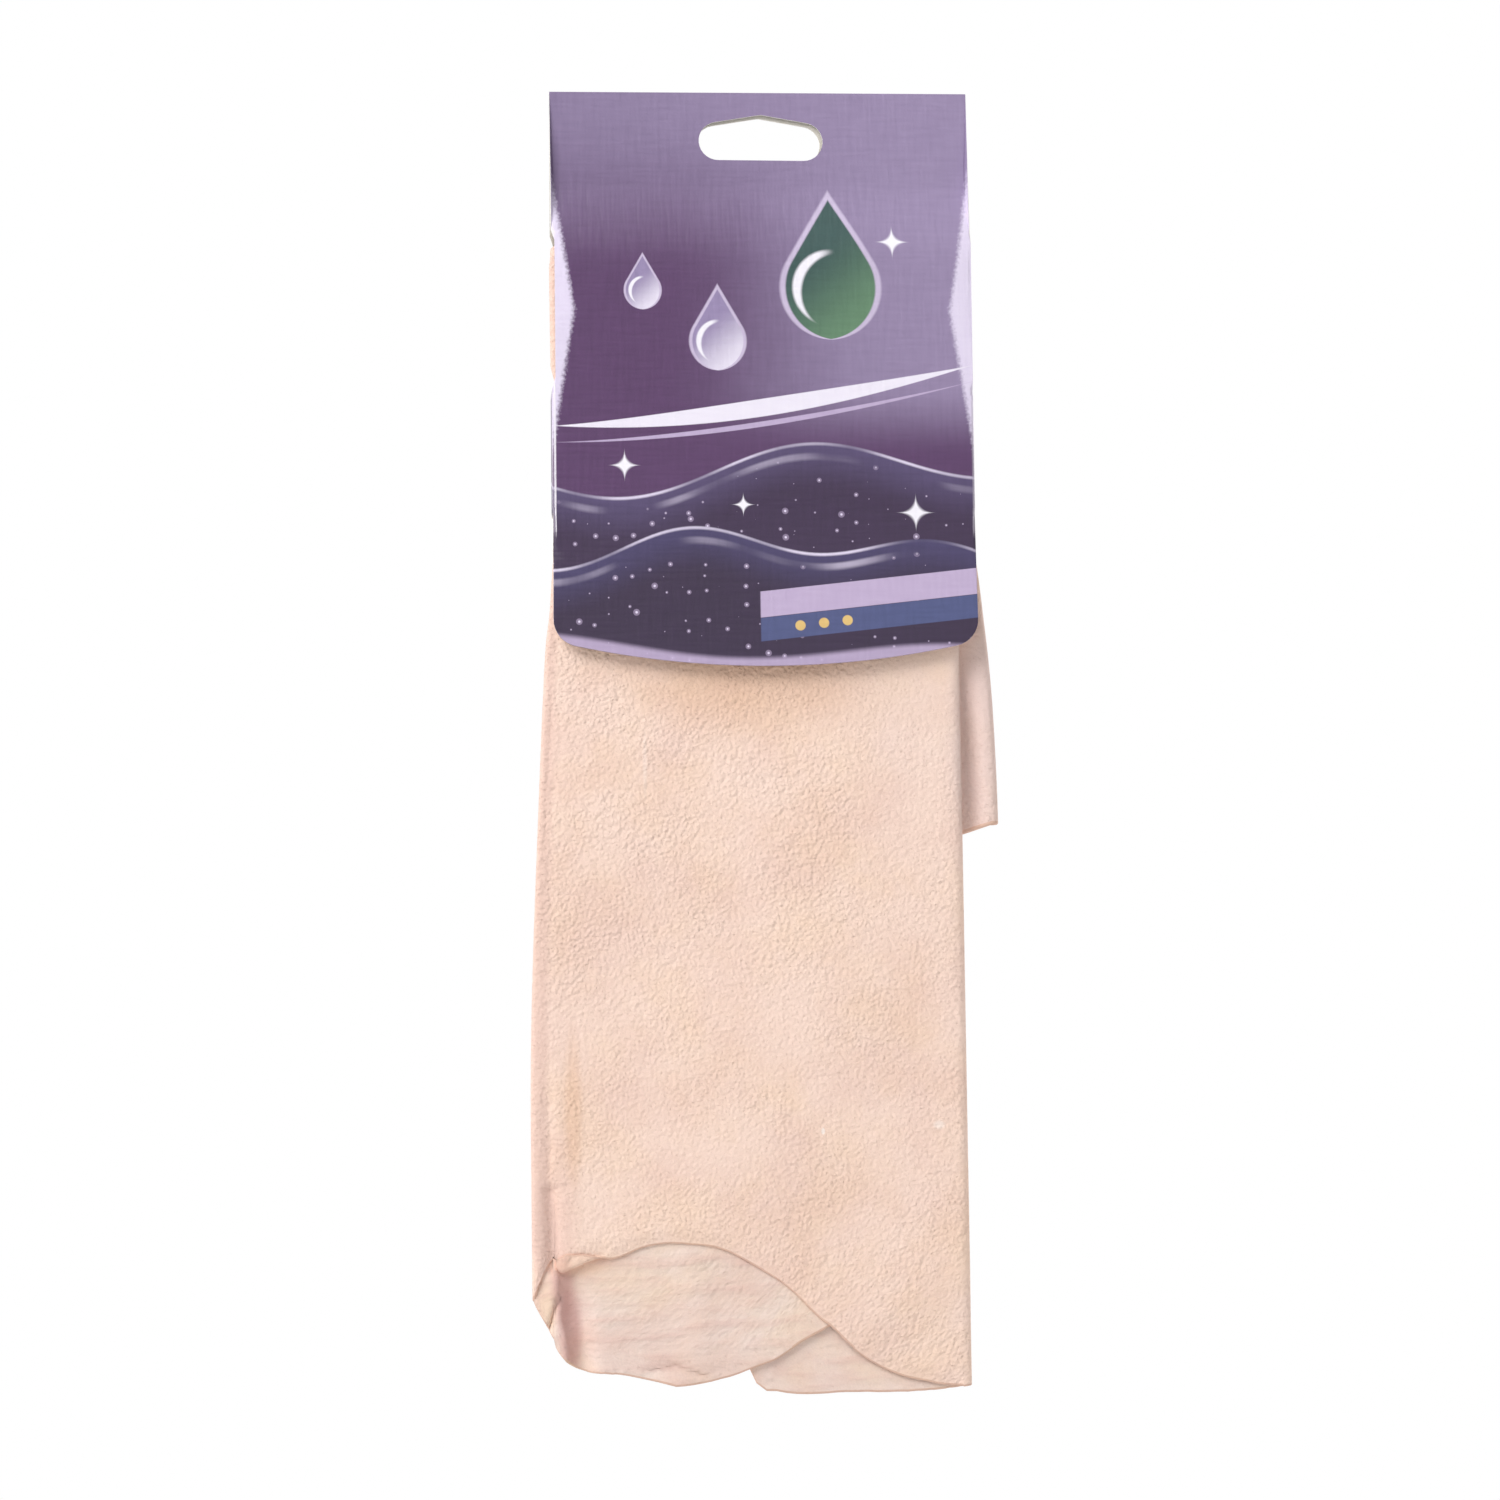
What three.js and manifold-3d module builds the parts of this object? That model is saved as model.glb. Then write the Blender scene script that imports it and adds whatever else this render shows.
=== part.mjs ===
// A chamois leather, folded in three lengthwise and once across, held in a printed hanging card sleeve.
// Millimetres, +Z up, front towards -Y. The origin is the peak of the hang slot, where a peg carries the
// card. A "drop" is a distance below that point.
import * as THREE from "three";
import { mergeVertices } from "three/addons/utils/BufferGeometryUtils.js";
import Module from "manifold-3d";

// Board and glue
const boardThickness = 0.5;
const glueThickness = 0.3;

// Hang slot
const slotWidth = 32;
const slotHeight = 11.9;
const slotEndRadius = 5;
const slotPeakRadius = 2.5;

// Outline of the card's front and back panels
const cardWidth = 107.6;
const slotOffset = 0.45; // the slot is punched this far right of the card's middle
const topMargin = 5.8; // board above the slot's peak
const windowTopDrop = 31.1;
const windowHeight = 41.4;
const windowInset = 1; // the die cut takes this much off each panel beside a window
const windowTaper = 3;
const wallHeight = 31.5; // creased side walls, below the windows
const freeFlapLength = 39.3; // from the walls down to the lowest point of the card
const bowRise = 6.4; // the lower edge is a shallow bow
const cornerRadius = 7;

// How the two panels part below the glued tab
const tabDrop = 17;
const partingLength = 21;
const freeFlapFlare = 2; // the free lower end of the front panel stands off the skin

// Seam inside the back panel
const seamFlapWidth = 15;
const seamFlapTaper = 3;
const seamFlapInset = 1; // shorter than the wall by this much at each end
const seamGlueInset = 2;

// Glue in the tab
const tabGlueMargin = 2;
const slotGlueMargin = 1.5;

// The skin and its folds
const skinThickness = 0.9;
const layerGap = 0.35;
const frontLength = 286.8; // from the crosswise fold to the lowest point of the hem
const backLength = 152;
const sleeveClearance = 0.4;
const wallClearance = 0.35;
const leafInset = 3.9; // the front leaf's right fold lies this far inside the right wall's clearance
const leftBelly = 7.4; // the left fold swells out this far below the sleeve
const bellyLength = 150;
const backShift = 8.4; // the back stretch is folded over a little askew
const backFlare = 3; // and spreads past the right wall as soon as it is free of it
const backFlareLength = 35;
const flareClearance = 1.5; // below the wall
const heldRollRadius = 1.4; // left fold where the skin lies double
const heldRollLift = 0.2;
const freeRollRadius = 2.4; // left fold where it hangs free
const freeRollLift = 0.8;
const rollGrowth = 50; // length over which the left fold opens up

// Cut edges of the hide, from the left fold to the free edge or the right fold, as
// [share across the layer, share of the hem's rise]
const frontHemRise = 37.7;
const frontHemZone = 54; // rows are level above this height over the lowest point
const wingWidthShare = 0.9;
const wingHemShares = [
  [0, 0.24],
  [0.25, 0.12],
  [0.36, 0.06],
  [0.53, 0.15],
  [0.6, 0.22],
  [0.74, 0.43],
  [1, 0.8],
];
const leafHemShares = [
  [0, 0.89],
  [0.18, 0.9],
  [0.32, 1],
  [0.45, 0.94],
  [0.56, 0.74],
  [0.68, 0.43],
  [0.8, 0.14],
  [1, 0.03],
];
const narrowWidthShare = 0.5;
const narrowHemShares = [
  [0, 0.03],
  [0.3, 0],
  [0.85, 0.01],
  [0.96, 0.05],
  [1, 0.15],
];
const backHemRise = 9;
const backHemZone = 24;
const backHemShares = [
  [0, 0.5],
  [0.3, 0.1],
  [0.6, 0],
  [0.85, 0.45],
  [1, 0.95],
];

// Faceting
const wingSteps = 5;
const rollSteps = 5;
const leafSteps = 8;
const rightFoldSteps = 4;
const narrowSteps = 3;
const hemRows = 3;
const frontRows = 7;
const acrossFoldRows = 6;
const backRows = 5;
const backHemRows = 1;
const curveSteps = 8;
const slopeStep = 1; // to each side of the drop at which a panel's slope is taken
const cutOverrun = 1;

// Places worked out from the sizes above
const cardLeft = -cardWidth / 2 - slotOffset;
const cardRight = cardWidth / 2 - slotOffset;
const wallTopDrop = windowTopDrop + windowHeight;
const wallBottomDrop = wallTopDrop + wallHeight;
const cardBottomDrop = wallBottomDrop + freeFlapLength;
const foldDrop = tabDrop + partingLength; // centre of the crosswise fold
const skinPitch = skinThickness + layerGap;
const narrowOffset = skinThickness / 2 + layerGap; // of each layer from the middle of the crosswise fold
const wingOffset = narrowOffset + skinPitch;
const leafOffset = wingOffset + skinPitch;
const stackDepth = 2 * (leafOffset + heldRollLift + skinThickness / 2);
const sleeveDepth = stackDepth + boardThickness + glueThickness + 2 * sleeveClearance;
const stackY = -(boardThickness + glueThickness) / 2; // the seam flap behind pushes the skin forward
const rightFoldRadius = (leafOffset - narrowOffset) / 2;

const wasm = await Module();
wasm.setup();

const mix = (from, to, share) => from + (to - from) * share;
const within = (value) => Math.min(1, Math.max(0, value));
const smooth = (value) => within(value) ** 2 * (3 - 2 * within(value));

// Value at a share from a table of [share, value] pairs.
function lookUp(table, share) {
  const next = table.findIndex(([at]) => at >= share);
  if (next <= 0) return table[next < 0 ? table.length - 1 : 0][1];
  const [from, low] = table[next - 1];
  const [to, high] = table[next];
  return mix(low, high, (share - from) / (to - from));
}

function toSolid(geometry) {
  const bare = geometry.clone();
  bare.deleteAttribute("normal");
  bare.deleteAttribute("uv");
  const merged = mergeVertices(bare);
  const mesh = new wasm.Mesh({
    numProp: 3,
    vertProperties: new Float32Array(merged.attributes.position.array),
    triVerts: new Uint32Array(merged.index.array),
  });
  return new wasm.Manifold(mesh);
}

function toGeometry(solid) {
  const { vertProperties, triVerts } = solid.getMesh();
  const geometry = new THREE.BufferGeometry();
  geometry.setAttribute("position", new THREE.BufferAttribute(vertProperties, 3));
  geometry.setIndex(new THREE.BufferAttribute(triVerts, 1));
  geometry.computeVertexNormals();
  return geometry;
}

// Shape drawn in X and Z, with its thickness along Y from nearY to farY.
function extrudeAlongY(shape, nearY, farY) {
  const geometry = new THREE.ExtrudeGeometry(shape, {
    depth: farY - nearY,
    bevelEnabled: false,
    curveSegments: curveSteps,
  });
  geometry.rotateX(Math.PI / 2);
  geometry.translate(0, farY, 0);
  return geometry;
}

// Shape drawn in Y and Z, with its length along X.
function extrudeAlongX(shape, leftX, rightX) {
  const geometry = new THREE.ExtrudeGeometry(shape, {
    depth: rightX - leftX,
    bevelEnabled: false,
    curveSegments: curveSteps,
  });
  geometry.applyMatrix4(new THREE.Matrix4().set(0, 0, 1, 0, 1, 0, 0, 0, 0, 1, 0, 0, 0, 0, 0, 1));
  geometry.translate(leftX, 0, 0);
  return geometry;
}

// Card outline: straight sides with the two window cuts, round corners and a bowed lower edge.
function panelShape() {
  const middle = (cardLeft + cardRight) / 2;
  const bowRadius = ((cardWidth / 2) ** 2 + bowRise ** 2) / (2 * bowRise);
  const bowCentreZ = bowRadius - cardBottomDrop;
  const cornerX = cardWidth / 2 - cornerRadius;
  const toCorner = Math.asin(cornerX / (bowRadius - cornerRadius));
  const cornerZ = bowCentreZ - (bowRadius - cornerRadius) * Math.cos(toCorner);
  const shape = new THREE.Shape();
  shape.moveTo(cardLeft, topMargin);
  shape.lineTo(cardLeft, -windowTopDrop);
  shape.lineTo(cardLeft + windowInset, -windowTopDrop - windowTaper);
  shape.lineTo(cardLeft + windowInset, -wallTopDrop + windowTaper);
  shape.lineTo(cardLeft, -wallTopDrop);
  shape.absarc(middle - cornerX, cornerZ, cornerRadius, Math.PI, 1.5 * Math.PI - toCorner, false);
  shape.absarc(middle, bowCentreZ, bowRadius, 1.5 * Math.PI - toCorner, 1.5 * Math.PI + toCorner, false);
  shape.absarc(middle + cornerX, cornerZ, cornerRadius, 1.5 * Math.PI + toCorner, 2 * Math.PI, false);
  shape.lineTo(cardRight, -wallTopDrop);
  shape.lineTo(cardRight - windowInset, -wallTopDrop + windowTaper);
  shape.lineTo(cardRight - windowInset, -windowTopDrop - windowTaper);
  shape.lineTo(cardRight, -windowTopDrop);
  shape.lineTo(cardRight, topMargin);
  shape.closePath();
  return shape;
}

// Hang slot: two round ends joined by a flat lower edge and a low peaked upper one, larger by a margin.
function slotShape(margin) {
  const endX = slotWidth / 2 - slotEndRadius;
  const endZ = slotEndRadius - slotHeight;
  const endRadius = slotEndRadius + margin;
  const peakRadius = slotPeakRadius + margin;
  const rise = -slotPeakRadius - endZ;
  const reach = Math.hypot(endX, rise);
  const slope = Math.atan2(-rise, endX) + Math.acos((peakRadius - endRadius) / reach);
  const shape = new THREE.Shape();
  shape.absarc(endX, endZ, endRadius, -Math.PI / 2, slope, false);
  shape.absarc(0, -slotPeakRadius, peakRadius, slope, Math.PI - slope, false);
  shape.absarc(-endX, endZ, endRadius, Math.PI - slope, 1.5 * Math.PI, false);
  shape.closePath();
  return shape;
}

// Distance of a panel's middle plane from the card's: together in the tab, apart in the sleeve.
function panelOffset(drop, flare) {
  const together = (glueThickness + boardThickness) / 2;
  const apart = (sleeveDepth + boardThickness) / 2;
  const parted = mix(together, apart, smooth((drop - tabDrop) / partingLength));
  return parted + flare * within((drop - wallBottomDrop) / freeFlapLength) ** 1.5;
}

// Front panel on side -1 and back panel on side 1: the board follows the parting curve.
function panelSolid(side, flare) {
  const drops = [-topMargin - cutOverrun];
  for (let step = 0; step <= curveSteps; step++) {
    drops.push(tabDrop + (partingLength * step) / curveSteps);
  }
  for (let step = 0; step <= curveSteps; step++) {
    drops.push(mix(wallBottomDrop, cardBottomDrop + cutOverrun, step / curveSteps));
  }
  const faces = [-1, 1].map((face) =>
    drops.map((drop) => {
      const slope = panelOffset(drop + slopeStep, flare) - panelOffset(drop - slopeStep, flare);
      const along = new THREE.Vector2(2 * slopeStep, slope).normalize();
      const half = (face * boardThickness) / 2;
      return new THREE.Vector2(
        side * (panelOffset(drop, flare) + half * along.x),
        -drop + half * along.y,
      );
    }),
  );
  const profile = new THREE.Shape([...faces[0], ...faces[1].reverse()]);
  const board = toSolid(extrudeAlongX(profile, cardLeft - cutOverrun, cardRight + cutOverrun));
  const reach = sleeveDepth + boardThickness + freeFlapFlare;
  const outline = toSolid(extrudeAlongY(panelShape(), -reach, reach));
  const slot = toSolid(extrudeAlongY(slotShape(0), -reach, reach));
  return toGeometry(board.intersect(outline).subtract(slot));
}

// Creased strip that joins the two panels below a window.
function sideWall(leftX) {
  const shape = new THREE.Shape();
  shape.moveTo(leftX, -wallTopDrop);
  shape.lineTo(leftX, -wallBottomDrop);
  shape.lineTo(leftX + boardThickness, -wallBottomDrop);
  shape.lineTo(leftX + boardThickness, -wallTopDrop);
  shape.closePath();
  return extrudeAlongY(shape, -sleeveDepth / 2, sleeveDepth / 2);
}

// Flap turned in from the right wall and glued inside the back panel, with tapered ends.
function seamFlap() {
  const hinge = cardRight - boardThickness;
  const tip = hinge - seamFlapWidth;
  const top = -wallTopDrop - seamFlapInset;
  const bottom = -wallBottomDrop + seamFlapInset;
  const shape = new THREE.Shape();
  shape.moveTo(hinge, top);
  shape.lineTo(tip, top - seamFlapTaper);
  shape.lineTo(tip, bottom + seamFlapTaper);
  shape.lineTo(hinge, bottom);
  shape.closePath();
  const nearY = sleeveDepth / 2 - glueThickness - boardThickness;
  return extrudeAlongY(shape, nearY, nearY + boardThickness);
}

function seamGlue() {
  const right = cardRight - boardThickness - seamGlueInset;
  const left = cardRight - boardThickness - seamFlapWidth + seamGlueInset;
  const top = -wallTopDrop - seamFlapInset - seamFlapTaper;
  const bottom = -wallBottomDrop + seamFlapInset + seamFlapTaper;
  const shape = new THREE.Shape();
  shape.moveTo(left, top);
  shape.lineTo(left, bottom);
  shape.lineTo(right, bottom);
  shape.lineTo(right, top);
  shape.closePath();
  return extrudeAlongY(shape, sleeveDepth / 2 - glueThickness, sleeveDepth / 2);
}

// Film of glue between the panels of the tab, kept clear of the slot.
function tabGlue() {
  const shape = new THREE.Shape();
  shape.moveTo(cardLeft + tabGlueMargin, topMargin - tabGlueMargin);
  shape.lineTo(cardLeft + tabGlueMargin, -tabDrop + slotGlueMargin);
  shape.lineTo(cardRight - tabGlueMargin, -tabDrop + slotGlueMargin);
  shape.lineTo(cardRight - tabGlueMargin, topMargin - tabGlueMargin);
  shape.closePath();
  const film = toSolid(extrudeAlongY(shape, -glueThickness / 2, glueThickness / 2));
  const slot = toSolid(extrudeAlongY(slotShape(slotGlueMargin), -glueThickness, glueThickness));
  return toGeometry(film.subtract(slot));
}

// Columns of the hide from the left wing's free edge, round the left fold, across the front leaf,
// round the right fold and along the narrow wing.
function hideColumns() {
  const columns = [];
  for (let step = 0; step <= wingSteps; step++) {
    columns.push({ layer: "wing", share: 1 - step / wingSteps });
  }
  for (let step = 1; step < rollSteps; step++) {
    columns.push({ layer: "roll", share: step / rollSteps });
  }
  for (let step = 0; step <= leafSteps; step++) {
    columns.push({ layer: "leaf", share: step / leafSteps });
  }
  for (let step = 1; step < rightFoldSteps; step++) {
    columns.push({ layer: "rightFold", share: step / rightFoldSteps });
  }
  for (let step = 0; step <= narrowSteps; step++) {
    columns.push({ layer: "narrow", share: step / narrowSteps });
  }
  return columns;
}

// Where a column's mid surface lies across the pack: x, its offset from the crosswise fold's middle,
// and its normal in those two directions.
function acrossHide(column, left, right, rollRadius, rollLift) {
  const width = right - left;
  const rollOffset = leafOffset + rollLift - rollRadius;
  const leafStart = left + rollRadius;
  const leafEnd = right - rightFoldRadius;
  if (column.layer === "wing") {
    const rise = smooth(column.share / narrowWidthShare);
    return {
      x: mix(leafStart, left + width * wingWidthShare, column.share),
      offset: mix(rollOffset - rollRadius, wingOffset, rise),
      normal: [0, -1],
    };
  }
  if (column.layer === "roll") {
    const angle = Math.PI * (1.5 - column.share);
    return {
      x: leafStart + rollRadius * Math.cos(angle),
      offset: rollOffset + rollRadius * Math.sin(angle),
      normal: [Math.cos(angle), Math.sin(angle)],
    };
  }
  if (column.layer === "leaf") {
    return {
      x: mix(leafStart, leafEnd, column.share),
      offset: leafOffset + rollLift * (1 - smooth(column.share * leafSteps)),
      normal: [0, 1],
    };
  }
  if (column.layer === "rightFold") {
    const angle = Math.PI * (0.5 - column.share);
    return {
      x: leafEnd + rightFoldRadius * Math.cos(angle),
      offset: narrowOffset + rightFoldRadius + rightFoldRadius * Math.sin(angle),
      normal: [Math.cos(angle), Math.sin(angle)],
    };
  }
  return {
    x: leafEnd - width * narrowWidthShare * column.share,
    offset: narrowOffset,
    normal: [0, -1],
  };
}

// Height of the cut edge over its lowest point, as a share of the hem's rise.
function hemShare(column) {
  if (column.layer === "wing") return lookUp(wingHemShares, column.share);
  if (column.layer === "leaf") return lookUp(leafHemShares, column.share);
  if (column.layer === "narrow") return lookUp(narrowHemShares, column.share);
  if (column.layer === "rightFold") return lookUp(narrowHemShares, 0);
  return mix(lookUp(wingHemShares, 0), lookUp(leafHemShares, 0), column.share);
}

// The back stretch's cut edge runs across all its layers alike.
function backHemShare(column) {
  if (column.layer === "wing") return lookUp(backHemShares, wingWidthShare * column.share);
  if (column.layer === "leaf") return lookUp(backHemShares, column.share);
  if (column.layer === "narrow") return lookUp(backHemShares, 1 - narrowWidthShare * column.share);
  return lookUp(backHemShares, column.layer === "roll" ? 0 : 1);
}

// Rows along the hide from the front hem up, over the crosswise fold and down the back.
function hideRows() {
  const rows = [];
  for (let step = 0; step < hemRows; step++) {
    rows.push({ zone: "hem", share: step / hemRows });
  }
  for (let step = 0; step < frontRows; step++) {
    rows.push({ zone: "front", share: step / frontRows });
  }
  for (let step = 0; step < acrossFoldRows; step++) {
    rows.push({ zone: "fold", share: step / acrossFoldRows });
  }
  for (let step = 0; step < backRows; step++) {
    rows.push({ zone: "back", share: step / backRows });
  }
  for (let step = 0; step <= backHemRows; step++) {
    rows.push({ zone: "backHem", share: step / backHemRows });
  }
  return rows;
}

// Drop of a column at a row, and how far round the crosswise fold it has turned.
function alongHide(column, row) {
  const hemDrop = foldDrop + frontLength - frontHemRise * hemShare(column);
  const levelDrop = foldDrop + frontLength - frontHemZone;
  const backHemDrop = foldDrop + backLength - backHemRise * backHemShare(column);
  const backLevelDrop = foldDrop + backLength - backHemZone;
  if (row.zone === "hem") return { drop: mix(hemDrop, levelDrop, row.share), turn: 0 };
  if (row.zone === "front") return { drop: mix(levelDrop, foldDrop, row.share), turn: 0 };
  if (row.zone === "fold") return { drop: foldDrop, turn: Math.PI * row.share };
  if (row.zone === "back") return { drop: mix(foldDrop, backLevelDrop, row.share), turn: Math.PI };
  return { drop: mix(backLevelDrop, backHemDrop, row.share), turn: Math.PI };
}

// A point of the hide: side 1 is the outer face of the pack, side -1 the inner one.
function hidePoint(column, row, side) {
  const { drop, turn } = alongHide(column, row);
  const onBack = turn > Math.PI / 2;
  const below = drop - wallBottomDrop;
  const sleeveLeft = cardLeft + boardThickness + wallClearance;
  const sleeveRight = cardRight - boardThickness - wallClearance;
  const belly = leftBelly * Math.sin((Math.PI / 2) * within(below / bellyLength));
  const shift = backShift * within((drop - foldDrop) / backLength);
  const flare = backFlare * smooth((below - flareClearance) / backFlareLength);
  const left = onBack ? sleeveLeft + shift : sleeveLeft - belly;
  const right = sleeveRight - leafInset + (onBack ? shift + flare : 0);
  const opened = onBack ? 0 : smooth((drop - foldDrop - backLength) / rollGrowth);
  const { x, offset, normal } = acrossHide(
    column,
    left + skinThickness / 2,
    right - skinThickness / 2,
    mix(heldRollRadius, freeRollRadius, opened),
    mix(heldRollLift, freeRollLift, opened),
  );
  const out = offset + (side * normal[1] * skinThickness) / 2;
  return new THREE.Vector3(
    x + (side * normal[0] * skinThickness) / 2,
    stackY - out * Math.cos(turn),
    -drop + out * Math.sin(turn),
  );
}

// One closed sheet: outer face, inner face and the cut edge all round.
function foldedHide() {
  const columns = hideColumns();
  const rows = hideRows();
  const points = [];
  for (const side of [1, -1]) {
    for (const row of rows) {
      for (const column of columns) {
        points.push(...hidePoint(column, row, side).toArray());
      }
    }
  }
  const at = (side, row, column) => (side * rows.length + row) * columns.length + column;
  const faces = [];
  const quad = (a, b, c, d) => faces.push(a, b, c, a, c, d);
  const lastRow = rows.length - 1;
  const lastColumn = columns.length - 1;
  for (let row = 0; row < lastRow; row++) {
    const above = row + 1;
    for (let column = 0; column < lastColumn; column++) {
      const next = column + 1;
      quad(at(0, row, column), at(0, row, next), at(0, above, next), at(0, above, column));
      quad(at(1, row, column), at(1, above, column), at(1, above, next), at(1, row, next));
    }
  }
  for (let column = 0; column < lastColumn; column++) {
    const next = column + 1;
    quad(at(0, 0, column), at(1, 0, column), at(1, 0, next), at(0, 0, next));
    quad(at(0, lastRow, column), at(0, lastRow, next), at(1, lastRow, next), at(1, lastRow, column));
  }
  for (let row = 0; row < lastRow; row++) {
    const above = row + 1;
    quad(at(0, row, 0), at(0, above, 0), at(1, above, 0), at(1, row, 0));
    quad(at(0, row, lastColumn), at(1, row, lastColumn), at(1, above, lastColumn), at(0, above, lastColumn));
  }
  const geometry = new THREE.BufferGeometry();
  geometry.setAttribute("position", new THREE.Float32BufferAttribute(points, 3));
  geometry.setIndex(faces);
  geometry.computeVertexNormals();
  return geometry;
}

const printedBoard = { color: 0x66507a, roughness: 0.5, metalness: 0 };
const driedGlue = { color: 0xe6dcc4, roughness: 0.5, metalness: 0 };
const chamois = { color: 0xeccfb9, roughness: 0.95, metalness: 0 };

function piece(name, geometry, finish) {
  const mesh = new THREE.Mesh(geometry, new THREE.MeshStandardMaterial(finish));
  mesh.name = name;
  return mesh;
}

const sleeve = new THREE.Group();
sleeve.add(piece("front_panel", panelSolid(-1, freeFlapFlare), printedBoard));
sleeve.add(piece("back_panel", panelSolid(1, 0), printedBoard));
sleeve.add(piece("left_side_wall", sideWall(cardLeft), printedBoard));
sleeve.add(piece("right_side_wall", sideWall(cardRight - boardThickness), printedBoard));
sleeve.add(piece("seam_flap", seamFlap(), printedBoard));
sleeve.add(piece("tab_glue", tabGlue(), driedGlue));
sleeve.add(piece("seam_glue", seamGlue(), driedGlue));

const pack = new THREE.Group();
pack.add(sleeve);
pack.add(piece("chamois_skin", foldedHide(), chamois));

export default pack;
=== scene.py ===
# A chamois leather in a hanging card sleeve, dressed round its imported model. Metres, +Z up, printed front
# towards -Y. The origin is the peak of the hang slot, where a peg carries the card.
import math

import bpy
import numpy as np
from mathutils import Matrix, Vector
from mathutils.geometry import delaunay_2d_cdt


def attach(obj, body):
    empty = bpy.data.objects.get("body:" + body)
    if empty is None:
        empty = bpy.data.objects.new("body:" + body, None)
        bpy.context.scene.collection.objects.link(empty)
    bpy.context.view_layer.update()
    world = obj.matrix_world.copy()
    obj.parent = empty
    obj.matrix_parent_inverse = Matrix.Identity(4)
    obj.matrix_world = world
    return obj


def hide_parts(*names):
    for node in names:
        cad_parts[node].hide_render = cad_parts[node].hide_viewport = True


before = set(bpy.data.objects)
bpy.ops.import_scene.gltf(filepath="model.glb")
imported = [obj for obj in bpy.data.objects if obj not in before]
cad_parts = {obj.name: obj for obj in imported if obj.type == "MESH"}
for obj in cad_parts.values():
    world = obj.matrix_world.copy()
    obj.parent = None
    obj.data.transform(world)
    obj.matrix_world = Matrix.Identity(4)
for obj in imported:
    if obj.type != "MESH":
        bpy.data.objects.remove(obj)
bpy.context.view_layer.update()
scene = bpy.context.scene

# Camera
# The pack hangs in front of the lens, which stands a little to its left and just below its middle.
view_azimuth = math.radians(-4.996)
view_elevation = math.radians(-4.954)
view_roll = math.radians(-0.696)
view_distance = 0.84966
view_centre = Vector((-0.00461, 0, -0.16394))
photo_width = 1500
focal_pixels = 3355.73

towards_lens = Vector((
    math.sin(view_azimuth) * math.cos(view_elevation),
    -math.cos(view_azimuth) * math.cos(view_elevation),
    math.sin(view_elevation),
))
level = Vector((math.cos(view_azimuth), math.sin(view_azimuth), 0))
upright = towards_lens.cross(level)
frame_right = level * math.cos(view_roll) + upright * math.sin(view_roll)
frame_up = upright * math.cos(view_roll) - level * math.sin(view_roll)
lens = bpy.data.cameras.new("camera")
lens.sensor_width = 36
lens.lens = lens.sensor_width * focal_pixels / photo_width
camera = bpy.data.objects.new("camera", lens)
camera.matrix_world = (
    Matrix.Translation(view_centre + towards_lens * view_distance)
    @ Matrix((frame_right, frame_up, towards_lens)).transposed().to_4x4()
)
scene.collection.objects.link(camera)
scene.camera = camera

# Stage
# White all round for the lens and for reflections, an even soft light on the pack, and a pale floor far below
# it that keeps the pack's shadow and fades to white further out.
scene.view_settings.view_transform = "Standard"
sky_level = 0.33
floor_height = -0.5
floor_reach = 6
floor_fade_from, floor_fade_to = 0.35, 0.9
lamps = [  # name, place, width and height, power in watts
    ("key", (-1.05, -0.97, 1.1), (1.2, 1.02), 32.6),
    ("fill", (0.9, -1.2, 0.3), (1.0, 1.0), 1.5),
    ("left_rim", (-1.2, 0.6, -0.1), (0.5, 0.9), 5.5),
    ("right_rim", (1.2, 0.6, -0.1), (0.5, 0.9), 7.0),
]


class Value:
    """What a socket gives. Arithmetic on it adds Math nodes to the socket's own tree."""

    def __init__(self, socket):
        self.socket = socket

    def __add__(self, other):
        return calc("ADD", self, other)

    def __sub__(self, other):
        return calc("SUBTRACT", self, other)

    def __rsub__(self, other):
        return calc("SUBTRACT", other, self)

    def __mul__(self, other):
        return calc("MULTIPLY", self, other)

    def __truediv__(self, other):
        return calc("DIVIDE", self, other)

    def __rtruediv__(self, other):
        return calc("DIVIDE", other, self)

    def __abs__(self):
        return calc("ABSOLUTE", self)


def tree_of(*values):
    return next(value.socket.id_data for value in values if isinstance(value, Value))


def feed(socket, value):
    """Links a socket to a value, or sets its own constant."""
    if isinstance(value, Value):
        socket.id_data.links.new(value.socket, socket)
    else:
        socket.default_value = value


def add(tree, kind, feeds=None, **settings):
    """A new node with its own settings, and with its inputs fed by name or number."""
    node = tree.nodes.new(kind)
    for name, value in settings.items():
        setattr(node, name, value)
    for key, value in (feeds or {}).items():
        feed(node.inputs[key], value)
    return node


def out(tree, kind, feeds=None, output=0, **settings):
    """One output of a new node."""
    return Value(add(tree, kind, feeds, **settings).outputs[output])


def outs(node):
    """All outputs of a node, by name."""
    return {socket.name: Value(socket) for socket in node.outputs}


def calc(operation, *values, clamp=False):
    feeds = dict(enumerate(values))
    return out(tree_of(*values), "ShaderNodeMath", feeds, operation=operation, use_clamp=clamp)


def ramp(value, start, end, low=0.0, high=1.0, kind="SMOOTHSTEP"):
    """low before start, high past end, eased between them."""
    feeds = {"Value": value, "From Min": start, "From Max": end, "To Min": low, "To Max": high}
    return out(tree_of(value), "ShaderNodeMapRange", feeds, "Result", interpolation_type=kind)


def stretched(place, factors):
    return out(tree_of(place), "ShaderNodeVectorMath", {0: place, 1: factors}, operation="MULTIPLY")


def blank_material(name):
    material = bpy.data.materials.new(name)
    material.use_nodes = True
    material.node_tree.nodes.clear()
    return material, material.node_tree


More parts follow.
